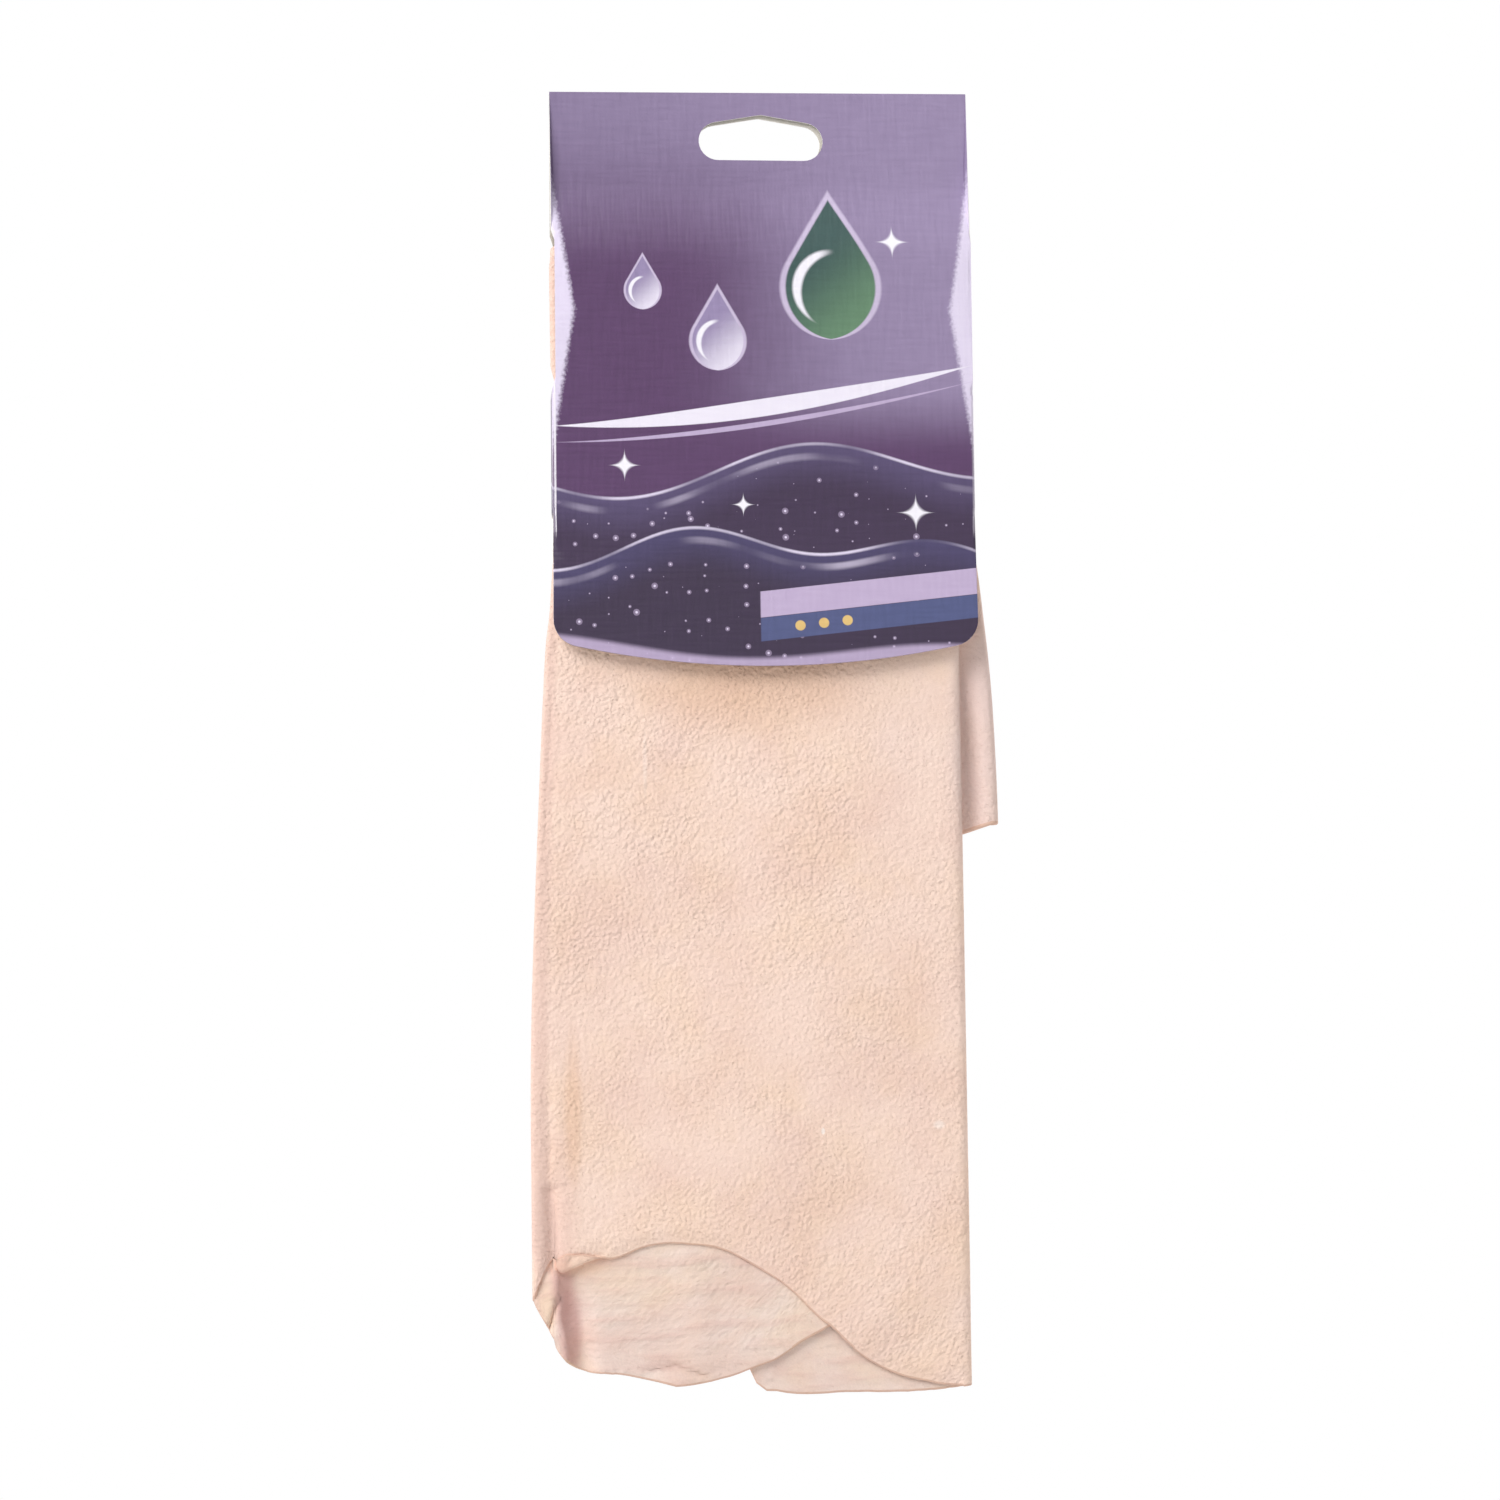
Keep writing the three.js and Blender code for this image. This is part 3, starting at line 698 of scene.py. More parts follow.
# Pale foot of the waves, and the two-tone band with its three dots
foot = under_crest(across, up, level=-139.5, height=3.4, length=120.0, start=5.2)
foot_top, foot_share = (-0.3, 1.5), 0.85
colour = tint(ramp(foot, *foot_top) * foot_share, colour, lilac)
band_slope, band_edge, band_start = 0.11, 0.2, (-2.2, -1.8)
dot_level, dot_radius, dot_softness = -133.9, 1.3, 0.08
lean = up - across * band_slope
on_band = ramp(across, *band_start) * ramp(across, front_reach, front_reach - 1.0)
for strip_foot, strip_top, strip_colour in ((-130.9, -124.0, lilac), (-137.0, -130.8, slate)):
    strip = ramp(lean, strip_foot, strip_foot + band_edge) * ramp(lean, strip_top, strip_top - band_edge)
    colour = tint(strip * on_band, colour, strip_colour)
for at in (8.0, 14.0, 20.0):
    dot = spot_at(across, up, at, dot_level + band_slope * at, dot_radius, dot_radius, dot_softness)
    colour = tint(dot, colour, gold)

# Sweeping stripes under the drops
stripe_from, stripe_reach, stripe_rise, stripe_power = -54.0, 107.0, 16.0, 1.7
stripe_side = (0.1, -0.15)
swept = calc("DIVIDE", across - stripe_from, stripe_reach, clamp=True)
for base, thick, code in ((-82.0, 2.3, "EDE6F5"), (-86.2, 0.7, "B9A6C8")):
    line = calc("POWER", swept, stripe_power) * stripe_rise + base
    off_line = abs(up - line) - calc("SINE", swept * math.pi) * thick
    stripe = ramp(off_line, *stripe_side) * calc("LESS_THAN", abs(across), front_reach)
    colour = tint(stripe, colour, ink(code))

# Water drops with a rim and a crescent of light, and the sparkles. The crescent is one disc less another, and
# each disc has its place, half width, half height and softness in radii of the drop.
light_across, light_up, light_spread, rim_inside = 0.45, -0.5, (-0.5, 0.75), (0.17, 0.12)
shine_disc, shine_bite, shine_end = (0, 0, 0.72, 0.72, 0.05), (0.16, -0.1, 0.72, 0.76, 0.05), (0.1, -0.25)
for at, level, radius, core, light in (
    (17.0, -46.0, 13.5, drop_deep, drop_green),
    (-12.0, -60.0, 7.6, drop_grey, drop_pale),
    (-31.0, -47.0, 5.0, drop_grey, drop_pale),
):
    water = use(tree, water_drop, across=across - at, up=up - level, radius=radius)
    side, high = water["Side"], water["Height"]
    body = tint(ramp(side * light_across + high * light_up, *light_spread), core, light)
    body = tint(ramp(water["Inside"], *rim_inside), body, drop_rim)
    crescent = spot_at(side, high, *shine_disc) * (1.0 - spot_at(side, high, *shine_bite))
    body = tint(crescent * ramp(side, *shine_end), body, drop_shine)
    colour = tint(water["Mask"], colour, body)
for at, level, reach in ((33.0, -34.0, 5.0), (-36.0, -92.0, 4.6), (38.0, -104.0, 5.4), (-6.0, -102.0, 3.4)):
    star = use(tree, sparkle, across=across - at, up=up - level, reach=reach)["Mask"]
    colour = tint(star, colour, star_white)

# Plain back: a bare pale panel inside a thin line
label_level, label_half_width, label_half_height, frame_gap = -68.0, 40.0, 34.0, 2.0
label_side, frame_line = (0.2, 0.0), (0.4, 0.25)
beside, beyond = abs(across - back_middle) - label_half_width, abs(up - label_level) - label_half_height
outside = calc("MAXIMUM", beside, beyond)
colour = tint(ramp(outside, *label_side), colour, label_lilac)
colour = tint(ramp(abs(outside - frame_gap), *frame_line), colour, lilac)

# Wear, and painted shade: a thin white line where the left crease cracks the ink, painted shade in grey on
# the turn beside it, and broken ink on the other creases, of which the last one is cracked into the board as
# well
flake, flaked, crack_heart, crack_relief = 0.9, (0.2, 0.4, 0.55, 1), 0.4, -0.6
flakes = noise(place, flake, 3.0)
on_wall = ramp(up, window_bottom + 2.5, window_bottom) * ramp(up, wall_bottom - 7, wall_bottom - 4)
for line, width, share, code in (
    # The first line is painted shade: grey on the turn of the left crease, where the wall turns away
    (crease_left - quarter * 0.75, 0.4, 0.55, "A79DAD"),
    (crease_left - 0.05, 0.3, 0.95, "E6DFEA"),
    (crease_right + quarter * 0.5, 0.45, 0.5, "C9C0D0"),
    (back_left_edge, 0.5, 0.5, "C9C0D0"),
):
    crack_and_shade = ramp(abs(across - line), width, width * crack_heart) * on_wall * ramp(flakes, *flaked)
    colour = tint(crack_and_shade * share, colour, ink(code))
weave = use(tree, linen, place=place)["Height"]
weave_depth, weave_shade, gloss, gloss_weave = 0.1, 0.12, 0.4, 0.06
colour = tint(weave_shade, colour, weave, kind="SOFT_LIGHT")
finish_surface(tree, colour, weave + crack_and_shade * crack_relief, weave_depth * mm, weave * gloss_weave + gloss)

# Plain side and cut edge; low on the card the cut edge is darkened purple-grey, painted shade on the edges
# that face down
low_shade_from, low_shade_to, fibre_length, fibre_depth = -0.12, -0.13, 0.0011, 0.03
speck_share, fibre_shade, paper_roughness = 0.5, 0.3, 0.85
for tree, code, speck_code, low_edge_shade in (
    (plain_tree, "C6C1B8", "8F897D", 0.0),
    (cut_tree, "EDE9E3", "CFC8BE", 0.8),
):
    place = out(tree, "ShaderNodeTexCoord", output="Object")
    paper = use(tree, paper_fibre, place=place, fibre=fibre_length)
    colour = tint(paper["Speck"] * speck_share, ink(code), ink(speck_code))
    # Painted shade: the cut edge low on the card is darkened purple-grey
    colour = tint(ramp(parts(place)["Z"], low_shade_from, low_shade_to) * low_edge_shade, colour, ink("7F6E90"))
    colour = tint(fibre_shade, colour, paper["Height"], kind="SOFT_LIGHT")
    finish_surface(tree, colour, paper["Height"], fibre_depth * mm, paper_roughness)

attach(card, "card_sleeve")
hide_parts("front_panel", "back_panel", "left_side_wall", "right_side_wall", "seam_flap")

# Dried glue
# Two films of carton glue that hold the blank in its folded form: one between the panels of the tab, round
# the hang slot, and one between the seam flap and the back panel.
glue_dark, glue_pale = ink("D9CFB4"), ink("EFE8D4")
glue_grain, glue_depth, glue_roughness = 700.0, 0.03, 0.4
for name in ("tab_glue", "seam_glue"):
    material, tree = blank_material(name)
    spots = cloud(out(tree, "ShaderNodeTexCoord", output="Object"), glue_grain)
    finish_surface(tree, tint(spots, glue_dark, glue_pale), spots, glue_depth * mm, glue_roughness)
    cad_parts[name].data.materials.clear()
    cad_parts[name].data.materials.append(material)

# Chamois skin
# One natural, oil-tanned skin about 0.9 mm thick, buffed to a pebbly nap outside and smoother inside. Both
# long sides are folded in behind the middle, the whole is folded over once crosswise, and its edges are left
# as cut.
skin_thickness = 0.9
layer_gap = 0.35
cross_fold = 38.0  # below the slot's peak, as all the drops here
front_length, back_length = 286.8, 152.0
stack_deep = -0.4
skin_right = 52.5
leaf_inset = 3.6
# The skin's stretches have names. Across it, "wing" is the layer behind the front one, "roll" the left fold,
# "leaf" the front layer, "right" the right fold and "narrow" the short layer at the very back. Along it,
# "hem" is the front's lower end, "fold" the fold over crosswise, and "back_hem" the lower end of the back.
left_edge = [  # drop, across
    (38, -53.4), (98, -53.4), (110, -53.8), (122, -54.6), (131, -55.3), (136, -56.0), (141, -56.4),
    (151, -56.95), (162, -57.5), (182, -58.4), (202, -59.3), (217, -59.9), (232, -60.35), (246, -60.6),
    (276, -60.6), (330, -60.4),
]
back_right_edge = [
    (38, 48.9), (98, 52.2), (104, 52.55), (109, 53.2), (115, 54.2), (122, 55.1), (129, 55.8), (136, 56.5),
    (149, 57.5), (162, 58.1), (182, 58.6), (190, 58.6),
]
window_bulge, bulge_drop, bulge_reach, bulge_steepness = 1.25, 53.0, 18.0, 4
back_left, back_shift = -53.4, 8.4
roll_width, held_depth, free_depth, roll_growth = 5.2, 2.6, 3.5, 50.0
right_roll, back_right_roll, tight_from, tight_growth = 2.3, 1.25, 98.0, 24.0
back_bulge, back_bulge_from, back_bulge_growth = 1.5, 120.0, 35.0
back_sink, back_sink_from, back_sink_growth = 1.4, 136.0, 30.0
settle, settle_from, settle_growth = 1.0, 2.0, 18.0  # the front layer comes down past the one behind it
hem_zone, back_hem_zone = 54.0, 24.0
wing_share, narrow_share = 0.9, 0.5
roll_across = [(0, 1), (0.16, 0.55), (0.32, 0.16), (0.47, 0), (0.62, 0.12), (0.81, 0.52), (1, 1)]
roll_turn, wing_creased = 0.47, 0.4  # the roll's outermost line, and where the wing's creases end on it
roll_deep = [
    (0, 1), (0.16, 1.0), (0.32, 0.88), (0.47, 0.62), (0.54, 0.38), (0.62, 0.23), (0.72, 0.13), (0.81, 0.07),
    (0.91, 0.03), (1, 0),
]
# How far each layer's lower edge ends above the lowest one, by its place across
roll_hem = [
    (0, 13.8), (0.15, 17.8), (0.3, 21.3), (0.45, 23.6), (0.6, 25.6), (0.7, 28.2), (0.8, 31.2), (0.88, 33.0),
    (1, 34.2),
]
wing_hem = [
    (-55.4, 13.8), (-54.3, 11.8), (-52.6, 9.4), (-50.9, 7.9), (-48.4, 6.7), (-38.4, 5.5), (-28.7, 3.3),
    (-25, 2.5), (-21.4, 2.7), (-11, 4.7), (-4.7, 7), (-0.3, 8.4), (6, 12.5), (13.1, 16.3), (37.3, 30.2),
    (45, 33),
]
leaf_hem = [
    (-55.4, 34.4), (-54.75, 34.0), (-54.2, 32.4), (-53.4, 31.2), (-52.5, 31.4), (-50.1, 32.3), (-46.3, 33.8),
    (-43.7, 34.4), (-40.7, 34.0), (-37.1, 35), (-33.4, 36.6), (-29.6, 37.3), (-25.4, 37.7), (-20.9, 37.2),
    (-15.6, 36.6), (-11.1, 35), (-7.4, 33), (-3.5, 30.7), (0.1, 28.4), (3.8, 25.6), (7.5, 21.9), (10.7, 18.6),
    (13.7, 16.4), (17.4, 12.6), (21, 9.3), (24.7, 7), (28.5, 5), (32.1, 3.7), (37.2, 2.4), (42.2, 1.5),
    (48, 1.1),
]
narrow_hem = [(-8, 8.5), (-7.1, 7.5), (-6.3, 5.5), (-4.7, 2.2), (-0.3, 0.7), (18.4, 0), (41, 0.3), (48, 1.13)]
back_hem = [(0, 4.5), (0.3, 0.9), (0.6, 0), (0.85, 2.7), (0.907, 3.9), (1, 6.75)]  # by its share of the width
hem_ripple, ripple_lengths, ripple_seed = 0.12, (17.0, 7.3, 4.1, 2.6), 3
# The front layer's lower left edge is turned up: how much of the skin is in the curl, by its place across
lip_length = [
    (-55.4, 0), (-54.7, 0.6), (-54.1, 3.2), (-53.3, 4.4), (-50.1, 4.0), (-46.3, 2.4), (-43.7, 1.1),
    (-41.7, 0.4), (60, 0.4),
]
lip_radius = 0.5
edge_taper, edge_thinning, edge_press = 4.0, 0.4, 0.42  # the front layer thins to its cut edge and lies close
cut_rounding, least_rounding, cut_band = 0.4, 0.06, 0.42
side_share, far_off = 0.9, 9  # where a layer's side edge is near, and a gap that rounds nothing
# Creases: places across and up, half width, how far out (or in, below zero), and the layers that have them
creases = [
    ([(-54.1, -300.4), (-55.2, -304.0), (-56.4, -308.2), (-57.2, -310)], 0.7, -1.5, ("wing", "roll")),
    ([(-56.6, -250), (-56.3, -262), (-56.1, -270)], 1.5, -0.4, ("leaf", "roll")),
    ([(-55.9, -274), (-55.5, -284), (-55.5, -293)], 1.9, -1.5, ("leaf", "roll")),
    ([(-31.6, -318.4), (-25.2, -317.0), (-18.6, -319.6)], 0.5, -0.75, ("wing",)),
    ([(-27.5, -322), (-23.5, -322)], 2.6, 1.1, ("wing",)),
    ([(-21, -292), (-19.5, -306), (-19, -317)], 4.0, 0.5, ("wing",)),
    ([(-44, -300.5), (-24, -298.6), (-8, -300.2)], 1.2, 0.14, ("wing",)),
    ([(-46, -306.8), (-30, -305.4), (-14, -307)], 1.0, 0.12, ("wing",)),
    ([(-54.9, -152), (-55.4, -164), (-56.2, -176), (-56.6, -190)], 0.5, -0.3, ("leaf", "roll")),
    ([(-54.2, -173), (-55.3, -177)], 0.45, -0.35, ("leaf", "roll")),
    ([(-55.0, -258), (-56.4, -268)], 0.5, -0.3, ("leaf", "roll")),
]
# The pinched lower left corner: the ridge's crest and the foot of its right flank, by their place up
crest_line = [
    (-325, -52.2), (-315.5, -52.4), (-309.4, -52.9), (-304, -54.2), (-299.3, -54.4), (-291, -55.5),
    (-280, -56),
]
foot_line = [(-325, -48.2), (-312.5, -48.2), (-307, -48.7), (-301, -49.8), (-296, -51.6), (-280, -53)]
pinch_from, foot_from, pinch_growth = 284.0, 294.0, 9.0
crest_out, high_foot_out, foot_out, fold_out = 3.2, 1.3, -0.5, 1.2
sway_reach, sway_from, sway_growth = 0.55, 150.0, 40.0
sway_waves = ((11.0, 31.0, 0.0), (17.0, -23.0, 1.3))  # millimetres across and down a radian, start
hide_span = 500.0  # of the skin's own map, both ways

pitch = skin_thickness + layer_gap
narrow_out = skin_thickness / 2 + layer_gap
wing_out = narrow_out + pitch
leaf_out = wing_out + pitch


def smooth(value):
    value = np.clip(value, 0, 1)
    return value**2 * (3 - 2 * value)


def mix(low, high, share):
    return low + (high - low) * share


def curve(table, share):
    """A smooth line through a table of (share, value)."""
    at, values = np.array(table, float).T
    slopes = np.gradient(values, at)
    share = np.clip(share, at[0], at[-1])
    i = np.clip(np.searchsorted(at, share) - 1, 0, len(at) - 2)
    width = at[i + 1] - at[i]
    t = (share - at[i]) / width
    return (
        (2 * t**3 - 3 * t**2 + 1) * values[i]
        + (t**3 - 2 * t**2 + t) * width * slopes[i]
        + (3 * t**2 - 2 * t**3) * values[i + 1]
        + (t**3 - t**2) * width * slopes[i + 1]
    )


def ripple(place, lengths, seed):
    """A wandering line from about -1 to 1, made of sines of a few lengths."""
    starts = np.random.default_rng(seed).uniform(0, 2 * math.pi, len(lengths))
    sines = [np.sin(2 * math.pi * place / length + start) for length, start in zip(lengths, starts)]
    return sum(sines) / len(lengths)


def even_stops(*stretches):
    """Places from 0 up, in stretches of (end, number of steps)."""
    places = np.zeros(1)
    for end, steps in stretches:
        places = np.append(places, np.linspace(places[-1], end, steps + 1)[1:])
    return places


# The sheet's columns and rows: narrow near cut edges and folds
column_stops = {
    "wing": np.append(even_stops((0.08, 21), (0.2, 12), (0.996, 33)), 1)[::-1],
    "roll": even_stops((0.42, 18), (1, 12))[1:-1],
    "leaf": even_stops((0.17, 29), (1, 41)),
    "right": even_stops((1, 10))[1:-1],
    "narrow": np.append(even_stops((0.2, 11), (0.99, 17)), 1),
}
curl_end = 0.26  # of the hem's length, past which no lower edge is turned up
hem_stops = np.concatenate([
    [0, 0.004, 0.01, 0.018],
    np.linspace(0.026, curl_end, 30),
    np.linspace(curl_end, 1, 27)[1:],
])
row_stops = {
    "hem": hem_stops[:-1],
    "front": even_stops((1, 83))[:-1],
    "fold": even_stops((1, 12))[:-1],
    "back": even_stops((1, 39))[:-1],
    "back_hem": np.append(even_stops((0.95, 12)), [0.98, 0.99, 1]),
}
layer = np.repeat(list(column_stops), [len(s) for s in column_stops.values()])
share = np.concatenate(list(column_stops.values()))
is_wing, is_roll, is_leaf, is_right, is_narrow = (layer == name for name in column_stops)
zone = np.repeat(list(row_stops), [len(s) for s in row_stops.values()])[:, None]
row_share = np.concatenate(list(row_stops.values()))[:, None]


def spread_across(drop, on_back):
    """Where the columns lie across, and how wide the folded skin is, at these drops."""
    bulge = window_bulge * smooth(bulge_steepness * (1 - np.abs(drop - bulge_drop) / bulge_reach))
    shift = back_shift * np.clip((drop - cross_fold) / back_length, 0, 1)
    left = np.where(on_back, back_left + shift, curve(left_edge, drop) - bulge) + skin_thickness / 2
    right = np.where(on_back, curve(back_right_edge, drop), skin_right - leaf_inset) - skin_thickness / 2
    fold_roll = mix(right_roll, back_right_roll, smooth((drop - tight_from) / tight_growth) * on_back)
    leaf_start, leaf_end, width = left + roll_width, right - fold_roll, right - left
    x = np.select(
        [is_wing & (drop > 0), is_roll & (drop > 0), is_leaf & (drop > 0), is_right & (drop > 0)],
        [
            mix(leaf_start, left + width * wing_share, share),
            left + roll_width * curve(roll_across, share),
            mix(leaf_start, leaf_end, share),
            leaf_end + fold_roll * np.cos(math.pi * (0.5 - share)),
        ],
        leaf_end - width * narrow_share * share,
    )
    return x, width


# Lower edges, and the curl of the front layer's one
level_drop = cross_fold + front_length - hem_zone
hem_x = spread_across(np.full((1, 1), level_drop + hem_zone), False)[0][0]
hem_rise = np.select(
    [is_wing, is_roll, is_leaf],
    [curve(wing_hem, hem_x), curve(roll_hem, share), curve(leaf_hem, hem_x)],
    curve(narrow_hem, hem_x),
)
hem_rise += hem_ripple * ripple(hem_x, ripple_lengths, ripple_seed) * ~is_roll
lip = np.maximum(np.where(is_leaf, curve(lip_length, hem_x), 0), 0)
bend = cross_fold + front_length - hem_rise - lip_radius * np.sin(np.minimum(lip / lip_radius, math.pi / 2))
hem_length = bend - level_drop + lip
from_cut = row_share * hem_length
curl = np.clip((lip - from_cut) / lip_radius, 0, math.pi)
past_curl = np.maximum(lip - from_cut - math.pi * lip_radius, 0)
hem_drop = np.where(
    from_cut > lip, level_drop + hem_length - from_cut, bend + lip_radius * np.sin(curl) - past_curl
)
back_place = np.select(
    [is_wing, is_leaf, is_narrow, is_roll],
    [wing_share * share, share, 1 - narrow_share * share, 0 * share],
    1,
)
back_end = cross_fold + back_length - curve(back_hem, back_place)
back_level = cross_fold + back_length - back_hem_zone
drop = np.select(
    [zone == "hem", zone == "front", zone == "fold", zone == "back"],
    [
        hem_drop,
        mix(level_drop, cross_fold, row_share) + 0 * share,
        cross_fold + 0 * row_share * share,
        mix(cross_fold, back_level, row_share) + 0 * share,
    ],
    mix(back_level, back_end, row_share),
)
turn = np.select([zone == "fold", (zone == "back") | (zone == "back_hem")], [math.pi * row_share, math.pi], 0)
on_back = turn > math.pi / 2
x, width = spread_across(drop, on_back)

# Depth of the layers, outwards from the middle of the stack; the back's short layer has a ridge and a hollow
opened = np.where(on_back, 0, smooth((drop - cross_fold - back_length) / roll_growth))
depth = mix(held_depth, free_depth, opened)
bulge = np.where(on_back, back_bulge * smooth((drop - back_bulge_from) / back_bulge_growth), 0)
from_right = width * narrow_share * share
ridge_from, ridge_fade, sunk_from, sunk_fade, sunk_to, sunk_end = 1.0, 5.0, 1.4, 4.0, 8.2, 2.0
near_out = narrow_out - bulge * (1 - smooth((from_right - ridge_from) / ridge_fade))
sunk = smooth((from_right - sunk_from) / sunk_fade) * (1 - smooth((from_right - sunk_to) / sunk_end))
near_out = near_out + back_sink * (sunk * on_back) * smooth((drop - back_sink_from) / back_sink_growth)
beyond_wing = drop - cross_fold - front_length + curve(wing_hem, x) - settle_from
leaf_level = leaf_out - settle * smooth(beyond_wing / settle_growth) * ~on_back * (x > 0)
fold_near = narrow_out - bulge
wing_from, wing_fade = 3.0, 9.0  # the wing comes down from the roll over this stretch
out_deep = np.select(
    [is_wing & (drop > 0), is_roll & (drop > 0), is_leaf & (drop > 0), is_right & (drop > 0)],
    [
        mix(leaf_out - depth, wing_out, smooth((share * width * wing_share - wing_from) / wing_fade)),
        leaf_out - depth * curve(roll_deep, share),
        leaf_level,
        (leaf_level + fold_near) / 2 + (leaf_level - fold_near) / 2 * np.sin(math.pi * (0.5 - share)),
    ],
    near_out,
)

# The pinched corner: a flat left flank up to the crest, and a steep right one down to its foot
crest_x, foot_x = curve(crest_line, -drop), curve(foot_line, -drop)
foot_width, foot_fade = 5.0, 6.0
up_left = np.clip((x - x.min()) / (crest_x - x.min()), 0, 1)
down_right = np.clip((foot_x - x) / (foot_x - crest_x), 0, 1) ** 2
foot_level = mix(high_foot_out, foot_out, smooth((drop - foot_from) / pinch_growth))
flanks = np.where(x < crest_x, mix(fold_out, crest_out, up_left), mix(foot_level, crest_out, down_right))
flanks = np.where(x > foot_x, mix(foot_level, wing_out, smooth((x - foot_x) / foot_width)), flanks)
flanks = mix(flanks, out_deep, smooth((x - foot_x - foot_width) / foot_fade))
pinched = (is_wing | is_roll & (share < roll_turn)) & ~on_back
out_deep = np.where(pinched, mix(out_deep, flanks, smooth((drop - pinch_from) / pinch_growth)), out_deep)

# Relief: creases, and a slow waviness that all the layers share
sway = 0.5  # from 0 to 1
for across_step, down_step, start in sway_waves:
    sway = sway + 0.5 / len(sway_waves) * np.sin(x / across_step + drop / down_step + start)
out_deep += sway_reach * sway * (smooth((drop - sway_from) / sway_growth) * ~on_back)
here = np.stack([x, -drop], axis=-1)
for line, reach, height, names in creases:
    line = np.array(line)
    nearest = np.min([line_distance(here, *ends) for ends in zip(line[:-1], line[1:])], axis=0)
    on_layer = np.isin(layer, names) & ~on_back & (~is_roll | (share < wing_creased) | ("leaf" in names))
    out_deep += height * np.exp(-((nearest / reach) ** 2)) * on_layer

# The sheet's middle surface, and its two faces on either side of it, closed round every edge
middle = np.stack([x, stack_deep - out_deep * np.cos(turn), -drop + out_deep * np.sin(turn)], axis=-1)
off_roll = is_leaf * smooth((x - x[:, is_leaf].min()) / edge_taper)
close = edge_press * smooth(1 - np.maximum(from_cut - lip, 0) / edge_taper)
middle[..., 1] -= np.where(zone == "hem", lip_radius * (1 - np.cos(curl)), 0)
middle[..., 1] += np.where(zone == "hem", close, 0) * off_roll
facing = np.cross(np.gradient(middle, axis=1), np.gradient(middle, axis=0))
facing /= np.linalg.norm(facing, axis=-1, keepdims=True)
edge_gap = np.where(zone == "hem", from_cut, far_off)
pressed = smooth(1 - edge_gap / edge_taper) * off_roll
edge_gap = np.minimum(edge_gap, np.where(zone == "back_hem", np.abs(back_end - drop), far_off))
side_gap = np.minimum(np.abs(x - x[:, :1]), np.abs(x - x[:, -1:]))
at_side = (is_wing | is_narrow) & (share > side_share)
edge_gap = np.minimum(edge_gap, np.where(at_side, side_gap, far_off))
rounding = np.sqrt(1 - (1 - np.clip(edge_gap / cut_rounding, least_rounding, 1)) ** 2)
half = (skin_thickness / 2 * rounding * (1 - edge_thinning * pressed))[..., None]
points = np.concatenate([middle + facing * half, middle - facing * half]).reshape(-1, 3) * mm
outer, inner = np.arange(2 * drop.size).reshape(2, *drop.shape)


def quads(a, b, c, d):
    return np.stack([a, b, c, d], axis=-1).reshape(-1, 4)


faces = [
    quads(outer[:-1, :-1], outer[:-1, 1:], outer[1:, 1:], outer[1:, :-1]),
    quads(inner[:-1, :-1], inner[1:, :-1], inner[1:, 1:], inner[:-1, 1:]),
    quads(outer[0, :-1], inner[0, :-1], inner[0, 1:], outer[0, 1:]),
    quads(outer[-1, :-1], outer[-1, 1:], inner[-1, 1:], inner[-1, :-1]),
    quads(outer[:-1, 0], outer[1:, 0], inner[1:, 0], inner[:-1, 0]),
    quads(outer[:-1, -1], inner[:-1, -1], inner[1:, -1], outer[1:, -1]),
]
finishes = np.concatenate([np.full(len(part), min(i, 2)) for i, part in enumerate(faces)])
at_cut = (edge_gap < cut_band)[:-1, :-1] | (edge_gap < cut_band)[1:, 1:]
finishes[: 2 * at_cut.size] = np.where(np.tile(at_cut.ravel(), 2), 2, finishes[: 2 * at_cut.size])
skin_mesh = bpy.data.meshes.new("folded_skin")
skin_mesh.from_pydata(points.tolist(), [], np.concatenate(faces).tolist())
skin_mesh.polygons.foreach_set("material_index", finishes.astype(np.int32))


def travelled(axis, zero):
    """Lengths along the sheet's rows (axis 1) or columns (axis 0), from one of them."""
    steps = np.linalg.norm(np.diff(middle, axis=axis), axis=-1)
    lengths = np.insert(np.cumsum(steps, axis=axis), 0, 0, axis=axis)
    return lengths - np.take(lengths, [zero], axis=axis)


# The flat hide in millimetres, from the front layer's middle column and the row above the hem
level_row, middle_column = len(hem_stops) - 1, int(np.argmax(is_leaf)) + int(is_leaf.sum()) // 2
hide_place = np.stack([travelled(1, middle_column), travelled(0, level_row)], axis=-1)
hide_origin = np.array([-150.0, -70.0])
hide_corners = hide_place.reshape(-1, 2)[corner_points(skin_mesh) % drop.size]
add_map(skin_mesh, "hide", hide_corners, hide_origin, hide_span)
skin_mesh.shade_smooth()
skin = bpy.data.objects.new("chamois_skin_folded", skin_mesh)
scene.collection.objects.link(skin)

# Pebbled nap: round pebbles of matted fibre with small pits between them, higher and lower in places
nap_inputs = {"Place": (0.0, 0.0, 0.0), "Pebble": 2.2}
nap_grain, given = new_group("nap_grain", nap_inputs, ["Height", "Pit", "Fibre"])
scaled = shrunk(given["Place"], given["Pebble"])
lumps = cloud(scaled, Roughness=0.6)
cells = {"Vector": scaled, "Scale": 1.0, "Smoothness": 1.0}
pebbles = out(nap_grain, "ShaderNodeTexVoronoi", cells, "Distance", feature="SMOOTH_F1")
pit = ramp(cloud(scaled, 1.3, 1.0), 0.38, 0.24)
brushing = ramp(cloud(scaled, 0.04), 0.35, 0.65, 0.7, 1.2)
swells = cloud(scaled, 0.32, 1.0)
fibre = cloud(scaled, 3.5)
height = lumps * 0.5 - pebbles * 0.8 + swells * 0.75 - pit * 0.25
add(nap_grain, "NodeGroupOutput", {0: height * brushing, 1: pit, 2: fibre})

